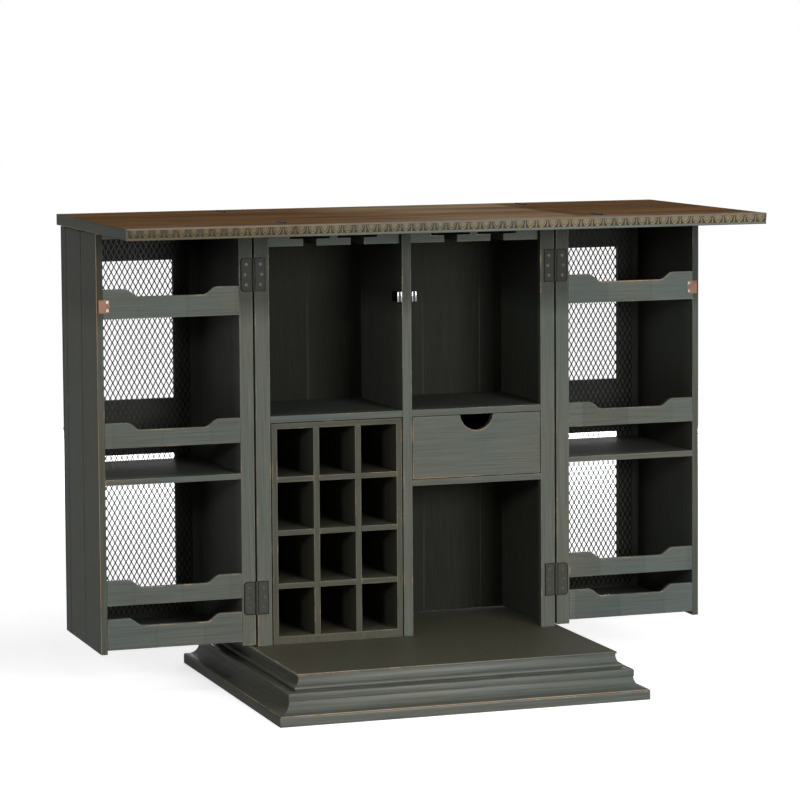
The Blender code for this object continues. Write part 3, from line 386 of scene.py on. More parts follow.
def body_coat_and_shade(face):
    """How much dark inside coat and painted shade a body face has: 0 unless it looks into a bay."""
    at = face.calc_center_median()
    if at.y > back_face + 0.004 or abs(at.x) > side_inner \
            or (face.normal.y < -0.5 and at.y < FACE + 0.1):
        return 0.0
    # painted shade by how a face turns: side walls least, floors more, backs most, the right bay's a
    # little less
    if abs(face.normal.x) > 0.5:
        return 0.3
    return 0.45 if face.normal.z > 0.5 else 0.9 if at.x > 0.0 else 1.0


# the sides and the back take the darker paint: painted shade
for node, paint, slot in (("body_side_left", side_paint["Z"], "dark_painted_wood"),
                          ("body_side_right", side_paint["Z"], "dark_painted_wood"),
                          ("front_stile_left", front_paint["Z"], "painted_wood"),
                          ("front_stile_right", front_paint["Z"], "painted_wood"),
                          ("partition", front_paint["Z"], "painted_wood"),
                          ("back_panel", side_paint["Z"], "dark_painted_wood"),
                          ("shelf_left", front_paint["X"], "painted_wood"),
                          ("shelf_right", front_paint["X"], "painted_wood"),
                          ("drawer_shelf", front_paint["X"], "painted_wood")):
    eased(node, "cabinet", [paint], inside=body_coat_and_shade,
          rub=lambda p: 0.15 if node == "back_panel" else 1.0)
eased("top_panel", "cabinet", [front_paint["X"], front_paint["Y"]],
      inside=body_coat_and_shade, choose=lambda face: int(face.calc_center_median().z < under_panel))


# Rack: a loose crate of thin pine boards, its uprights and shelves halved into each other. What
# slides in and out rubs the front edges, so those are worn more than the rest.
rack_paint = {axis: painted_pine("olive_green_paint_along_" + axis.lower(), axis,
                                 "5a584b", "47453a", "54574f") for axis in "XZ"}
rack_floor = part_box("wine_rack_case")[0].z + 0.019  # just above its floor board
rack_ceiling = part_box("wine_rack_case")[1].z - 0.013  # just below its top board
for node, axis in (("wine_rack_upright_1", "Z"), ("wine_rack_upright_2", "Z"),
                   ("wine_rack_shelf_1", "X"), ("wine_rack_shelf_2", "X"),
                   ("wine_rack_shelf_3", "X")):
    eased(node, "cabinet", [rack_paint[axis]], ease=0.0009, ring=0.0028,
          inside=body_coat_and_shade)
eased("wine_rack_case", "cabinet", [rack_paint["Z"], rack_paint["X"]],
      ease=0.0009, ring=0.0028, inside=body_coat_and_shade,
      choose=lambda face: int(not rack_floor < face.calc_center_median().z < rack_ceiling))


# Drawer: a solid front with a half-round cut for two fingers, and a box of thin boards behind it.
drawer_low, drawer_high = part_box("drawer_front")
cut_middle = (drawer_low.x + drawer_high.x) / 2
cut_half = 0.043  # half the cut's width with its rim
cut_low = 0.555  # just below the cut


def drawer_wear(p):
    """Fingers wear the cut's rim; the lower edge is rubbed where the drawer is pushed shut."""
    if p.z > cut_low and abs(p.x - cut_middle) < cut_half:
        return 1.05
    return 1.5 if p.z < drawer_low.z + 0.003 and p.x < 0.1 else 0.9


eased("drawer_front", "drawer", [front_paint["X"]], rub=drawer_wear)
eased("drawer_box", "drawer", [side_paint["X"]], inside=body_coat_and_shade)


# Doors: deep cases of boards with shelves and scooped gallery rails; the rails are cut from
# finger-jointed strip, and hands wear their scooped top edges.
rail_paint = {name: painted_pine("finger_jointed_green_paint" + name, "X", slate="5b6664",
                                 joint=phase)
              for name, phase in (("_floor", 0.30), ("_gallery_lower", 0.75),
                                  ("_gallery_middle", 0.12), ("_shelf_upper", 0.58))}
scoop_depth = 0.0168  # from a rail's high ends to its low middle
case_floor = 0.12  # half way up the floor board
for door in ("left_door", "right_door"):
    low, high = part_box(door + "_gallery_lower")  # it fills the case from side to side
    case_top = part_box(door + "_top")[0].z
    side_low, side_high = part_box(door + "_outer_side")
    free_edge = max(-side_low.x, side_high.x)

    def door_coat_and_shade(face):
        """How much dark inside coat and painted shade a face has: 0 unless it looks into the case."""
        at = face.calc_center_median()
        if face.normal.y < -0.5 or at.y > FACE + 0.32 \
                or not low.x - 0.002 < at.x < high.x + 0.002 \
                or not case_floor < at.z < case_top + 0.002 \
                or (at.z < case_floor + 0.005 and face.normal.z < -0.5):
            return 0.0
        # painted shade by how a face turns: side walls least, floors more, the rest most
        return 0.45 if abs(face.normal.x) > 0.5 else 0.6 if face.normal.z > 0.5 else 1.0

    def side_wear(p):
        """The left door's outer front arris is rubbed bare, most of all near the top."""
        return 1.35 + 0.5 * (p.z > 0.8) if p.y < FACE + 0.004 and p.x < 0.004 - free_edge else 0.9

    def rail_wear(p):
        """The low middle of a scooped rail is worn; on the right door's upper rail it is bare."""
        worn = abs(p.z - scoop) < 0.0025 and p.y < FACE + 0.02
        return (1.5 if door == "right_door" and scoop > 0.8 else 1.1) if worn else 0.95

    eased(door + "_hinge_side", door, [front_paint["Z"]], inside=door_coat_and_shade,
          rub=lambda p: 0.92)
    eased(door + "_outer_side", door, [side_paint["Z"]], inside=door_coat_and_shade,
          rub=side_wear)
    for name in ("_top", "_shelf_middle"):
        eased(door + name, door, [front_paint["X"]], inside=door_coat_and_shade)
    for name, paint in rail_paint.items():
        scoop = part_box(door + name)[1].z - scoop_depth
        eased(door + name, door, [paint], inside=door_coat_and_shade, rub=rail_wear)
    # the mesh frame's inner faces get three quarters of the dark inside coat and its painted shade
    eased(door + "_mesh_frame", door, [front_paint["Z"]],
          inside=lambda face: 0.75 * (face.normal.y < 0.5
                                      and face.calc_center_median().y < FACE + 0.33))


# Expanded metal: black steel sheet, slit and stretched into diamonds 12.6 mm wide and 23 mm high,
# stapled inside the door's frame. Its strands tilt a little, so they catch the light in spots.
diamond_width = 0.0126
diamond_height = 0.023
strand_half = 0.00125
steel_gauge = 0.0011


def mesh_sheet(door):
    """A grid whose cells are poked and joined into diamonds, then opened and given thickness."""
    low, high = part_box(door + "_mesh")
    width, height = high.x - low.x, high.z - low.z
    bm = bmesh.new()
    bmesh.ops.create_grid(bm, x_segments=round(width / diamond_width),
                          y_segments=round(height / diamond_height), size=0.5)
    shared = [edge for edge in bm.edges if len(edge.link_faces) == 2]
    bmesh.ops.poke(bm, faces=bm.faces)
    bmesh.ops.dissolve_edges(bm, edges=shared, use_verts=False)
    bmesh.ops.scale(bm, verts=bm.verts, vec=(width, height, 1.0))
    # the strands meet in blunt knuckles, a little proud of the sheet
    knots = [vert for vert in bm.verts if not vert.is_boundary]
    bmesh.ops.bevel(bm, geom=knots, offset=0.0011, offset_type="OFFSET", segments=1, profile=0.5,
                    affect="VERTICES", clamp_overlap=True, material=-1)
    cells = [face for face in bm.faces if len(face.verts) > 4 or face.calc_area() > 0.00002]
    for face in bm.faces:
        if face not in cells:
            bmesh.ops.translate(bm, verts=face.verts, vec=(0.0, 0.0, 0.0005))
    bmesh.ops.inset_individual(bm, faces=cells, thickness=strand_half)
    bmesh.ops.delete(bm, geom=cells, context="FACES")
    grown = bmesh.ops.extrude_face_region(bm, geom=bm.faces[:])
    moved = [item for item in grown["geom"] if isinstance(item, bmesh.types.BMVert)]
    bmesh.ops.translate(bm, verts=moved, vec=(0.0, 0.0, steel_gauge))
    bmesh.ops.rotate(bm, verts=bm.verts, cent=(0.0, 0.0, 0.0),
                     matrix=Matrix.Rotation(pi / 2, 3, "X"))
    bmesh.ops.translate(bm, verts=bm.verts, vec=((low.x + high.x) / 2, high.y - 0.00002,
                                                 (low.z + high.z) / 2))
    bmesh.ops.recalc_face_normals(bm, faces=bm.faces)
    return bm


black_steel, tree, shader, place = new_finish("black_painted_steel")
shader.inputs["Specular IOR Level"].default_value = 0.12
specks = add(tree, "TexNoise", {"Vector": place, "Scale": 420.0, "Detail": 2.0}).outputs[0]
colour = add(tree, "Mix", {0: specks, 6: tone("060606"), 7: tone("0e0e0f")},
             data_type="RGBA").outputs[2]
gloss = add(tree, "MapRange", {0: specks, 3: 0.25, 4: 0.45}).outputs[0]
set_finish(tree, shader, colour, gloss, specks, 0.3, 0.0003)

for door in ("left_door", "right_door"):
    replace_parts(finished(door + "_expanded_metal", mesh_sheet(door), door,
                         [black_steel], smooth=False, crease=None), door + "_mesh")


# Top: three boards glued up from stained and waxed planks with a paler border at the front. The
# leaves fold in over the centre on small hinges let into the seams. Edges are painted.
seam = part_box("top_centre_moulding")[1].x


def waxed_planks(name):
    """Brown stained planks along X: dark grain, paler borders and a paler centre."""
    made, tree, shader, place = new_finish(name)
    parts = add(tree, "SeparateXYZ", {0: place}).outputs
    # boards 112 mm wide are glued side by side, each with its own grain and tone
    count = add(tree, "Math", {0: parts["Y"], 1: 8.93, 2: 0.42}, operation="MULTIPLY_ADD").outputs[0]
    number = add(tree, "Math", {0: count}, operation="FLOOR").outputs[0]
    leaf = add(tree, "MapRange", {0: parts["X"], 1: seam - 0.001, 2: seam + 0.001}).outputs[0]
    board = add(tree, "Math", {0: leaf, 1: 7.0, 2: number}, operation="MULTIPLY_ADD").outputs[0]
    board_tone = add(tree, "TexWhiteNoise", {"W": board}, noise_dimensions="1D").outputs["Value"]
    board_tone = add(tree, "MapRange", {0: board_tone, 3: -0.09, 4: 0.09}).outputs[0]
    joint = add(tree, "Math", {0: count, 1: 0.5}, operation="PINGPONG").outputs[0]
    joint = add(tree, "MapRange", {0: joint, 1: 0.003, 2: 0.009, 3: 0.62}).outputs[0]
    grain_space = add(tree, "Mapping", {"Vector": place, "Scale": (4.0, 105.0, 105.0)}).outputs[0]
    grain = add(tree, "TexNoise", {"Vector": grain_space, "W": board, "Scale": 1.0, "Detail": 6.0,
                                   "Roughness": 0.66, "Distortion": 0.7},
                noise_dimensions="4D").outputs[0]
    pore_space = add(tree, "Mapping", {"Vector": place, "Scale": (25.0, 700.0, 700.0)}).outputs[0]
    pores = add(tree, "TexNoise", {"Vector": pore_space, "Scale": 1.0, "Detail": 2.0}).outputs[0]
    blotch_space = add(tree, "Mapping", {"Vector": place, "Scale": (2.2, 9.0, 9.0)}).outputs[0]
    blotches = add(tree, "TexNoise", {"Vector": blotch_space, "Scale": 1.0, "Detail": 4.0}).outputs[0]
    figure = add(tree, "Math", {0: blotches, 1: 0.4, 2: grain}, operation="MULTIPLY_ADD").outputs[0]
    figure = add(tree, "Math", {0: figure, 1: board_tone}, operation="ADD").outputs[0]
    lines = add(tree, "MapRange", {0: figure, 1: 0.50, 2: 0.92}).outputs[0]
    brown = add(tree, "Mix", {0: lines, 6: tone("38250f"), 7: tone("8c6741")},
                data_type="RGBA").outputs[2]
    taupe = add(tree, "Mix", {0: lines, 6: tone("7a634a"), 7: tone("c4ab89")},
                data_type="RGBA").outputs[2]
    # the front border is 77 mm wide and sharp on the right; towards the left it widens and fades
    wander = add(tree, "Math", {0: blotches, 1: 0.5}, operation="SUBTRACT").outputs[0]
    loose = add(tree, "MapRange", {0: parts["X"], 1: -0.1, 2: 0.3, 3: 0.35, 4: 0.0}).outputs[0]
    limit = add(tree, "MapRange", {0: parts["X"], 1: -0.1, 2: 0.3,
                                   3: FACE - 0.215, 4: FACE - 0.265}).outputs[0]
    beyond = add(tree, "Math", {0: wander, 1: loose, 2: parts["Y"]},
                 operation="MULTIPLY_ADD").outputs[0]
    beyond = add(tree, "Math", {0: beyond, 1: limit}, operation="SUBTRACT").outputs[0]
    border = add(tree, "MapRange", {0: beyond, 1: 0.003, 2: -0.003}).outputs[0]
    right = add(tree, "MapRange", {0: parts["X"], 1: -0.3, 2: 0.1, 3: 0.35}).outputs[0]
    border = add(tree, "Math", {0: border, 1: right}, operation="MULTIPLY").outputs[0]
    # the middle is paler from a sharp line beside the right seam to a faded one on the left
    spread = add(tree, "Math", {0: wander, 1: 0.6, 2: parts["X"]},
                 operation="MULTIPLY_ADD").outputs[0]
    paler_middle = add(tree, "MapRange", {0: spread, 1: -0.20, 2: 0.05, 4: 0.8}).outputs[0]
    sharp = add(tree, "MapRange", {0: parts["X"], 1: 0.314, 2: 0.308}).outputs[0]
    paler_middle = add(tree, "Math", {0: paler_middle, 1: sharp}, operation="MULTIPLY").outputs[0]
    # a third border runs along the back of the right leaf
    back_strip = add(tree, "MapRange", {0: parts["Y"], 1: FACE + 0.270, 2: FACE + 0.278,
                                        4: 0.55}).outputs[0]
    pale = add(tree, "Math", {0: border, 1: paler_middle}, operation="MAXIMUM").outputs[0]
    pale = add(tree, "Math", {0: pale, 1: back_strip}, operation="MAXIMUM").outputs[0]
    mottle = add(tree, "MapRange", {0: blotches, 1: 0.35, 2: 0.62, 3: 0.45, 4: 1.0}).outputs[0]
    pale = add(tree, "Math", {0: pale, 1: mottle}, operation="MULTIPLY").outputs[0]
    colour = add(tree, "Mix", {0: pale, 6: brown, 7: taupe}, data_type="RGBA").outputs[2]
    colour = add(tree, "Mix", {0: 1.0, 6: colour, 7: joint}, data_type="RGBA",
                 blend_type="MULTIPLY").outputs[2]
    rub = add(tree, "Attribute", attribute_name="rub").outputs["Fac"]
    rub = add(tree, "MapRange", {0: rub, 1: 0.3, 2: 1.0, 4: 0.6}).outputs[0]
    colour = add(tree, "Mix", {0: rub, 6: colour, 7: tone("7d6e59")}, data_type="RGBA").outputs[2]
    shader.inputs["Specular IOR Level"].default_value = 0.02
    gloss = add(tree, "MapRange", {0: grain, 3: 0.78, 4: 0.95}).outputs[0]
    relief = add(tree, "Math", {0: pores, 1: 0.5, 2: grain}, operation="MULTIPLY_ADD").outputs[0]
    set_finish(tree, shader, colour, gloss, relief, 0.3, 0.0006)
    return made


def painted_steel(name, dark, light, rim_tone):
    """Steel painted over by brush, darker along the rims."""
    made, tree, shader, place = new_finish(name)
    shader.inputs["Specular IOR Level"].default_value = 0.06
    spot = add(tree, "SeparateXYZ", {0: place}).outputs
    blotches = add(tree, "TexNoise", {"Vector": place, "Scale": 120.0, "Detail": 3.0}).outputs[0]
    colour = add(tree, "Mix", {0: blotches, 6: tone(dark), 7: tone(light)},
                 data_type="RGBA").outputs[2]
    # painted shade from 820 mm up, as under the top; the seam hinges, on the top, are all darkened by
    # it
    colour = add(tree, "Mix", {0: 1.0, 6: colour, 7: painted_shade_under_top(tree, spot)}, data_type="RGBA",
                 blend_type="MULTIPLY").outputs[2]
    rim = add(tree, "Attribute", attribute_name="rub").outputs["Fac"]
    rim = add(tree, "MapRange", {0: rim, 1: 0.05, 2: 0.45, 4: 0.85}).outputs[0]
    colour = add(tree, "Mix", {0: rim, 6: colour, 7: tone(rim_tone)}, data_type="RGBA").outputs[2]
    gloss = add(tree, "MapRange", {0: blotches, 3: 0.35, 4: 0.55}).outputs[0]
    set_finish(tree, shader, colour, gloss, blotches, 0.25, 0.0003)
    return made


seam_steel = painted_steel("blackened_seam_hinge_steel", "100e0c", "1d1a17", "0a0908")
planks = waxed_planks("waxed_brown_planks")
top_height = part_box("left_leaf_moulding")[1].z
seam_hinge_from_face = 0.238  # one in front of the body's face and one behind it
seam_hinge_half_length = 0.031
seam_hinge_half_width = 0.0052
seam_hinge_depth = 0.0046


def at_seam_hinge(point):
    """Whether a point lies on a seam hinge's knuckles or plates."""
    return (abs(abs(point.x) - seam) < seam_hinge_half_width
            and point.z > top_height - seam_hinge_depth
            and abs(abs(point.y - FACE) - seam_hinge_from_face) < seam_hinge_half_length)


def top_coat(face):
    """Wax above, brushed paint on the other sides, blackened steel on the seam hinges."""
    if at_seam_hinge(face.calc_center_median()):
        return 3
    if face.normal.z > 0.3:
        return 0
    return 2 if abs(face.normal.x) > 0.5 else 1


for node, body in (("top_centre", "cabinet"), ("left_leaf", "left_top_leaf"),
                   ("right_leaf", "right_top_leaf")):
    eased(node, body, [planks, side_paint["X"], side_paint["Y"], seam_steel],
          choose=top_coat, skip=lambda edge: any(at_seam_hinge(vert.co) for vert in edge.verts))


# Carved edge: a moulding with egg and dart cut along its face, glued to the front of each board.
# Dark paint has settled in the hollows and gilt has been rubbed over the high parts.
deep = 0.0021  # the hollows lie this far back
shallow = 0.0004  # and the crowns of the eggs this far


def carved_edge(node, eggs):
    """The moulding: a fine grid carved into eggs and darts, and its plain nosing, bead and back."""
    low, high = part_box(node)
    nose = high.z - 0.003
    bead = low.z + 0.0055
    bm = bmesh.new()
    bmesh.ops.create_grid(bm, x_segments=34 * eggs, y_segments=18, size=0.5)
    gilt = bm.verts.layers.float.new("gilt")
    hollow = bm.verts.layers.float.new("hollow")
    for vert in bm.verts:
        along = (vert.co.x + 0.5) * eggs
        down = 0.5 - vert.co.y
        off = abs(along - int(min(along, eggs - 1e-6)) - 0.5)
        # rings of one tongue-shaped outline: 1 at the egg's edge, 1.5 at the outer edge of its rim
        ring = ((off / 0.26) ** 1.6 + (down / 0.70) ** 1.6) ** 0.625
        dart = 1.0 - (0.5 - off) / (0.035 + 0.06 * down)
        cut, shine, dirt = deep, 0.0, 1.0
        if ring < 1.0:
            cut, dirt = shallow + 0.0008 * ring ** 3, 0.0
            shine = 0.15 + 0.85 * max(0.0, ring - 0.7) / 0.3
        elif 1.16 < ring < 1.50:
            hump = sin(pi * (ring - 1.16) / 0.34)
            cut, shine, dirt = deep - 0.0016 * hump, hump, 1.0 - hump
        elif ring >= 1.50 and dart > 0.0:
            cut, shine, dirt = deep - 0.0014 * min(1.0, 2.0 * dart), 0.7 * dart, 0.3
        fade = max(0.0, min(1.0, down / 0.07, (1.0 - down) / 0.05))
        vert[gilt] = shine * fade
        vert[hollow] = dirt * fade
        # the face curves back 3.5 mm to the bead
        curve = low.y + 0.0035 * (1.0 - sqrt(max(0.0, 1.0 - down * down)))
        vert.co = Vector((low.x + along * (high.x - low.x) / eggs,
                          curve + shallow + (cut - shallow) * fade, nose - (nose - bead) * down))
    ends = [edge for edge in bm.edges if edge.is_boundary
            and abs(edge.verts[0].co.x - edge.verts[1].co.x) > 1e-5]
    head = [edge for edge in ends if edge.verts[0].co.z > (nose + bead) / 2]
    foot = [edge for edge in ends if edge.verts[0].co.z < (nose + bead) / 2]
    over = ((low.y, nose + 0.0002), (low.y, high.z - 0.0010), (low.y + 0.0003, high.z - 0.0003),
            (low.y + 0.0010, high.z), (high.y, high.z))
    under = ((low.y + 0.0036, bead), (low.y + 0.0024, bead - 0.0004),
             (low.y + 0.0020, bead - 0.0014), (low.y + 0.0020, low.z + 0.0014),
             (low.y + 0.0024, low.z + 0.0004), (low.y + 0.0034, low.z), (high.y, low.z))
    back = []
    for line, stops in ((head, over), (foot, under)):
        for y, z in stops:
            grown = bmesh.ops.extrude_edge_only(bm, edges=line)["geom"]
            for item in grown:
                if isinstance(item, bmesh.types.BMVert):
                    item.co.y = y
                    item.co.z = z
                    item[gilt] = 0.0
            line = [item for item in grown if isinstance(item, bmesh.types.BMEdge)
                    and all(abs(v.co.z - z) < 1e-7 and abs(v.co.y - y) < 1e-7
                            for v in item.verts)]
        back += line
    bmesh.ops.bridge_loops(bm, edges=back)
    bmesh.ops.holes_fill(bm, edges=[edge for edge in bm.edges if edge.is_boundary], sides=0)
    bmesh.ops.recalc_face_normals(bm, faces=bm.faces)
    return bm


gilt_paint, tree, shader, place = new_finish("gilt_rubbed_carving")
spot = add(tree, "SeparateXYZ", {0: place}).outputs
streak_space = add(tree, "Mapping", {"Vector": place, "Scale": (14.0, 300.0, 300.0)}).outputs[0]
streaks = add(tree, "TexNoise", {"Vector": streak_space, "Scale": 1.0, "Detail": 3.0}).outputs[0]
patches = add(tree, "TexNoise", {"Vector": place, "Scale": 9.0, "Detail": 3.0}).outputs[0]
ragged = add(tree, "TexNoise", {"Vector": place, "Scale": 350.0, "Detail": 2.0}).outputs[0]
slate = add(tree, "Mix", {0: streaks, 6: tone("474c45"), 7: tone("676d64")},
            data_type="RGBA").outputs[2]
olive = add(tree, "Mix", {0: streaks, 6: tone("3c3527"), 7: tone("5e5440")},
            data_type="RGBA").outputs[2]
# the paint turns from olive brown on the left to slate on the right; the nosing is worn to taupe
turn = add(tree, "Math", {0: patches, 1: 0.8, 2: spot["X"]}, operation="MULTIPLY_ADD").outputs[0]
turn = add(tree, "MapRange", {0: turn, 1: 0.05, 2: 0.35}).outputs[0]
paint = add(tree, "Mix", {0: turn, 6: olive, 7: slate}, data_type="RGBA").outputs[2]
nosing = add(tree, "MapRange", {0: spot["Z"], 1: top_height - 0.0034,
                                2: top_height - 0.0026}).outputs[0]
in_patches = add(tree, "Math", {0: patches, 1: 0.55}, operation="GREATER_THAN").outputs[0]
beside = add(tree, "Math", {0: spot["X"]}, operation="ABSOLUTE").outputs[0]
beside = add(tree, "MapRange", {0: beside, 1: seam - 0.03, 2: seam + 0.03, 3: 0.35}).outputs[0]
worn = add(tree, "Math", {0: in_patches, 1: beside}, operation="MAXIMUM").outputs[0]
nosing = add(tree, "Math", {0: nosing, 1: worn}, operation="MULTIPLY").outputs[0]
taupe = add(tree, "Mix", {0: streaks, 6: tone("5a4e3e"), 7: tone("786a55")},
            data_type="RGBA").outputs[2]
colour = add(tree, "Mix", {0: nosing, 6: paint, 7: taupe}, data_type="RGBA").outputs[2]
dirt = add(tree, "Attribute", attribute_name="hollow").outputs["Fac"]
dirt = add(tree, "Math", {0: dirt, 1: 0.85}, operation="MULTIPLY").outputs[0]
colour = add(tree, "Mix", {0: dirt, 6: colour, 7: tone("23241f")}, data_type="RGBA").outputs[2]
# gilt holds best on the high parts, and in two long stretches right of the middle
stretch = add(tree, "Math", {0: spot["X"], 1: 0.45}, operation="SUBTRACT").outputs[0]
stretch = add(tree, "Math", {0: stretch}, operation="ABSOLUTE").outputs[0]
stretch = add(tree, "Math", {0: stretch, 1: 0.18}, operation="SUBTRACT").outputs[0]
stretch = add(tree, "Math", {0: stretch}, operation="ABSOLUTE").outputs[0]
stretch = add(tree, "MapRange", {0: stretch, 1: 0.05, 2: 0.14, 3: 0.45, 4: 0.0}).outputs[0]
shine = add(tree, "Attribute", attribute_name="gilt").outputs["Fac"]
amount = add(tree, "Math", {0: patches, 1: 1.6, 2: ragged}, operation="MULTIPLY_ADD").outputs[0]
amount = add(tree, "MapRange", {0: amount, 1: 1.0, 2: 1.6, 3: 0.30, 4: 0.85}).outputs[0]
amount = add(tree, "Math", {0: amount, 1: stretch}, operation="ADD", use_clamp=True).outputs[0]
held = add(tree, "MapRange", {0: spot["X"], 1: -0.7, 2: 0.2, 3: 0.55}).outputs[0]
amount = add(tree, "Math", {0: amount, 1: held}, operation="MULTIPLY").outputs[0]
amount = add(tree, "Math", {0: amount, 1: shine}, operation="MULTIPLY").outputs[0]
gold = add(tree, "Mix", {0: ragged, 6: tone("80643c"), 7: tone("bb9d6b")},
           data_type="RGBA").outputs[2]
colour = add(tree, "Mix", {0: amount, 6: colour, 7: gold}, data_type="RGBA").outputs[2]
shader.inputs["Specular IOR Level"].default_value = 0.2
gloss = add(tree, "MapRange", {0: amount, 3: 0.55, 4: 0.40}).outputs[0]
set_finish(tree, shader, colour, gloss, streaks, 0.25, 0.0004)

for node, body, eggs in (("top_centre_moulding", "cabinet", 28),
                         ("left_leaf_moulding", "left_top_leaf", 14),
                         ("right_leaf_moulding", "right_top_leaf", 14)):
    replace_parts(finished(node + "_carved", carved_edge(node, eggs), body,
                         [gilt_paint], crease=50), node)


# Door hinges: rolled steel butt hinges with rounded leaves, painted over with the cabinet. Each
# leaf is held by three countersunk screws with cross recesses.
def plain_metal(name, dark, light, rough, metallic=1.0):
    """Metal with fine rubbing marks: two tones and two degrees of gloss in small noise."""
    made, tree, shader, place = new_finish(name)
    shader.inputs["Metallic"].default_value = metallic
    marks = add(tree, "TexNoise", {"Vector": place, "Scale": 260.0, "Detail": 3.0}).outputs[0]
    colour = add(tree, "Mix", {0: marks, 6: tone(dark), 7: tone(light)}, data_type="RGBA").outputs[2]
    gloss = add(tree, "MapRange", {0: marks, 3: rough * 0.7, 4: rough * 1.3}).outputs[0]
    set_finish(tree, shader, colour, gloss, marks, 0.15, 0.0002)
    return made


def add_screw(bm, place, radius, turned):
    """A countersunk screw head that faces -Y: a disc with a cross recess, its walls in painted shade.
    """
    rim = bmesh.ops.create_circle(bm, segments=24, radius=radius)["verts"]
    cross = bmesh.ops.create_circle(bm, segments=24, radius=radius)["verts"]
    # a quarter of the recess: an arm's tip, a flank, the corner between two arms, the next flank
    quarter = ((0.58, -9.0), (0.58, 0.0), (0.58, 9.0), (0.40, 14.0), (0.23, 45.0), (0.40, 76.0))
    for number, vert in enumerate(cross):
        reach, swing = quarter[number % 6]
        angle = radians(90.0 * (number // 6) + swing + turned)
        vert.co = Vector((cos(angle), sin(angle), 0.0)) * radius * reach
    ring = [edge for edge in bm.edges if all(vert in rim for vert in edge.verts)]
    slot = [edge for edge in bm.edges if all(vert in cross for vert in edge.verts)]
    verts = set(rim) | set(cross)
    bmesh.ops.bridge_loops(bm, edges=ring + slot)
    # both outlines go down in two steps, by parts of the radius, and are closed there
    for line, spread, sink in ((ring, 1.40, 0.05), (slot, 0.80, 0.35)):
        for wider, lower in ((spread, sink), (0.55, 0.5)):
            grown = bmesh.ops.extrude_edge_only(bm, edges=line)["geom"]
            # the walls of recess and countersink take the second coat: near-black painted shade
            for item in grown:
                if isinstance(item, bmesh.types.BMFace):
                    item.material_index = 1
            line = [item for item in grown if isinstance(item, bmesh.types.BMEdge)
                    and all(vert not in verts for vert in item.verts)]
            fresh = {vert for edge in line for vert in edge.verts}
            for vert in fresh:
                vert.co.x *= wider
                vert.co.y *= wider
                vert.co.z -= lower * radius
            verts |= fresh
        bmesh.ops.holes_fill(bm, edges=line, sides=0)
    bmesh.ops.recalc_face_normals(bm, faces=[face for face in bm.faces if face.verts[0] in verts])
    bmesh.ops.transform(bm, matrix=Matrix.Translation(place) @ Matrix.Rotation(pi / 2, 4, "X"),
                        verts=list(verts))


hinge_paint = painted_steel("brushed_over_hinge_steel", "3a3b34", "4b4c44", "11120f")
# near-black on the walls of the screws' recesses and countersinks: painted shade
painted_shade_in_recesses = plain_metal("painted_shade_round_the_screw_heads", "0d0d0b", "191815", 0.6, 0.0)
steel_screw = plain_metal("zinc_plated_screw_steel", "5d5f60", "8f9294", 0.38)
painted_screw = plain_metal("painted_over_screw_steel", "1d1e1b", "30312d", 0.5, 0.0)
knuckle_radius = 0.0029
barrel_half = 0.0036  # the knuckles and where they run into the leaf
screw_radius = 0.0026
screw_face = FACE - 0.0025  # just behind the plane of the pins, so that shut leaves clear
screw_pitch = 0.0225  # in height
middle_reach = 1.18  # the middle screw stands this much further from the pin than its fellows
for door in ("left_door", "right_door"):
    away = -1.0 if door == "left_door" else 1.0
    for hinge in ("_upper_hinge", "_lower_hinge"):
        pin = Vector([(a + b) / 2 for a, b in zip(*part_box(door + hinge + "_cabinet_leaf"))])
        near = min(abs(corner.x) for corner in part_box(door + hinge + "_door_leaf"))
        pin.x = away * (near + knuckle_radius)
        for leaf, body, reach in (("_cabinet_leaf", "cabinet", -0.0158),
                                  ("_door_leaf", door, 0.0168)):
            eased(door + hinge + leaf, body, [hinge_paint], ease=0.0004, ring=0.0024,
                  skip=lambda edge: any(abs(vert.co.x - pin.x) < barrel_half
                                        for vert in edge.verts))
            bm = bmesh.new()
            for number in (-1, 0, 1):
                outward = reach * (1.0 if number else middle_reach)
                add_screw(bm, Vector((pin.x + away * outward, screw_face,
                                      pin.z + screw_pitch * number)),
                          screw_radius, 25.0 + 31.0 * number)
            finished(door + hinge + leaf + "_screws", bm, body,
                     [painted_screw, painted_shade_in_recesses])


# Catches: two bright pole plates with a magnet between them in a plated housing, screwed to the
# partition. Each door carries a copper-plated strike plate, held by two screws.
copper = plain_metal("copper_plated_steel", "523d33", "73594b", 0.55)
chrome = plain_metal("bright_plated_steel", "5a5c5d", "808282", 0.25)
ferrite = plain_metal("black_ferrite", "0c0c0c", "1c1c1b", 0.6, 0.0)
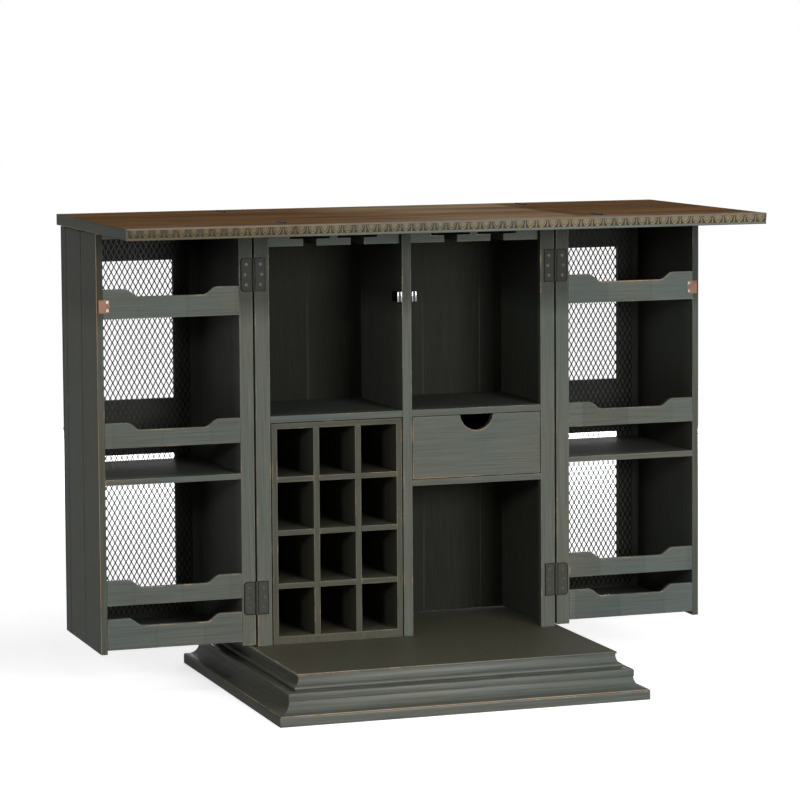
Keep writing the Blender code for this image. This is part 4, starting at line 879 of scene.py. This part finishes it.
# size and middle of each block, in parts of the catch's box, and its place among the metals
housing = (0.96, 0.90, 0.92), (0.0, 0.05, 0.0), 0
left_pole = (0.30, 0.96, 0.98), (-0.33, -0.01, 0.0), 0
right_pole = (0.30, 0.96, 0.98), (0.33, -0.01, 0.0), 0
magnet = (0.30, 0.50, 0.86), (0.0, -0.22, 0.0), 1
strike_screw_in = 0.0048  # from the plate's inner end
strike_screw_half_pitch = 0.009
strike_screw_radius = 0.0031
for door in ("left_door", "right_door"):
    low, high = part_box(door + "_catch")
    bm = bmesh.new()
    for span, middle, slot in (housing, left_pole, right_pole, magnet):
        block = bmesh.ops.create_cube(bm, size=1.0)["verts"]
        for vert in block:
            vert.co = Vector([(low[i] + high[i]) / 2
                              + (high[i] - low[i]) * (middle[i] + span[i] * vert.co[i])
                              for i in range(3)])
        for face in {face for vert in block for face in vert.link_faces}:
            face.material_index = slot
        bmesh.ops.bevel(bm, geom=list({edge for vert in block for edge in vert.link_edges}),
                        offset=0.0005, offset_type="OFFSET", segments=2, profile=0.5,
                        affect="EDGES", material=-1)
    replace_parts(finished(door + "_magnetic_catch", bm, "cabinet",
                         [chrome, ferrite]), door + "_catch")

    eased(door + "_strike_plate", door, [copper], ease=0.0003, ring=0.0012,
          skip=lambda edge: edge.calc_length() < 0.004)
    low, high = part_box(door + "_strike_plate")
    inner = high.x - strike_screw_in if door == "left_door" else low.x + strike_screw_in
    bm = bmesh.new()
    for number in (-1, 1):
        add_screw(bm, Vector((inner, low.y - 0.0001,
                              (low.z + high.z) / 2 + strike_screw_half_pitch * number)),
                  strike_screw_radius, 20.0 * number)
    finished(door + "_strike_plate_screws", bm, door, [steel_screw, painted_shade_in_recesses])


# Knobs: turned and blackened iron, one on the mesh side of each door near its free edge.
iron = plain_metal("blackened_turned_iron", "171615", "2b2926", 0.42, 0.7)
# outline from foot to crown: radius and height, in parts of the knob's own
turning = ((0.0, 0.0), (0.58, 0.0), (0.62, 0.02), (0.61, 0.06), (0.54, 0.11), (0.46, 0.17),
           (0.43, 0.24), (0.42, 0.33), (0.45, 0.41), (0.55, 0.46), (0.74, 0.49), (0.87, 0.53),
           (0.96, 0.60), (0.99, 0.68), (0.98, 0.76), (0.93, 0.84), (0.82, 0.91), (0.64, 0.96),
           (0.40, 0.985), (0.18, 0.997), (0.0, 1.0))
for door in ("left_door", "right_door"):
    low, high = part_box(door + "_knob")
    foot = Vector(((low.x + high.x) / 2, low.y, (low.z + high.z) / 2))
    widest, length = (high.x - low.x) / 2, high.y - low.y
    bm = bmesh.new()
    line = [bm.verts.new(foot + Vector((radius * widest, along * length, 0.0)))
            for radius, along in turning]
    line += [bm.edges.new(pair) for pair in zip(line, line[1:])]
    bmesh.ops.spin(bm, geom=line, cent=foot, axis=(0.0, 1.0, 0.0), angle=2 * pi, steps=40,
                   use_merge=True)
    bmesh.ops.remove_doubles(bm, verts=bm.verts, dist=1e-6)
    bmesh.ops.recalc_face_normals(bm, faces=bm.faces)
    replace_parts(finished(door + "_turned_knob", bm, door, [iron]), door + "_knob")
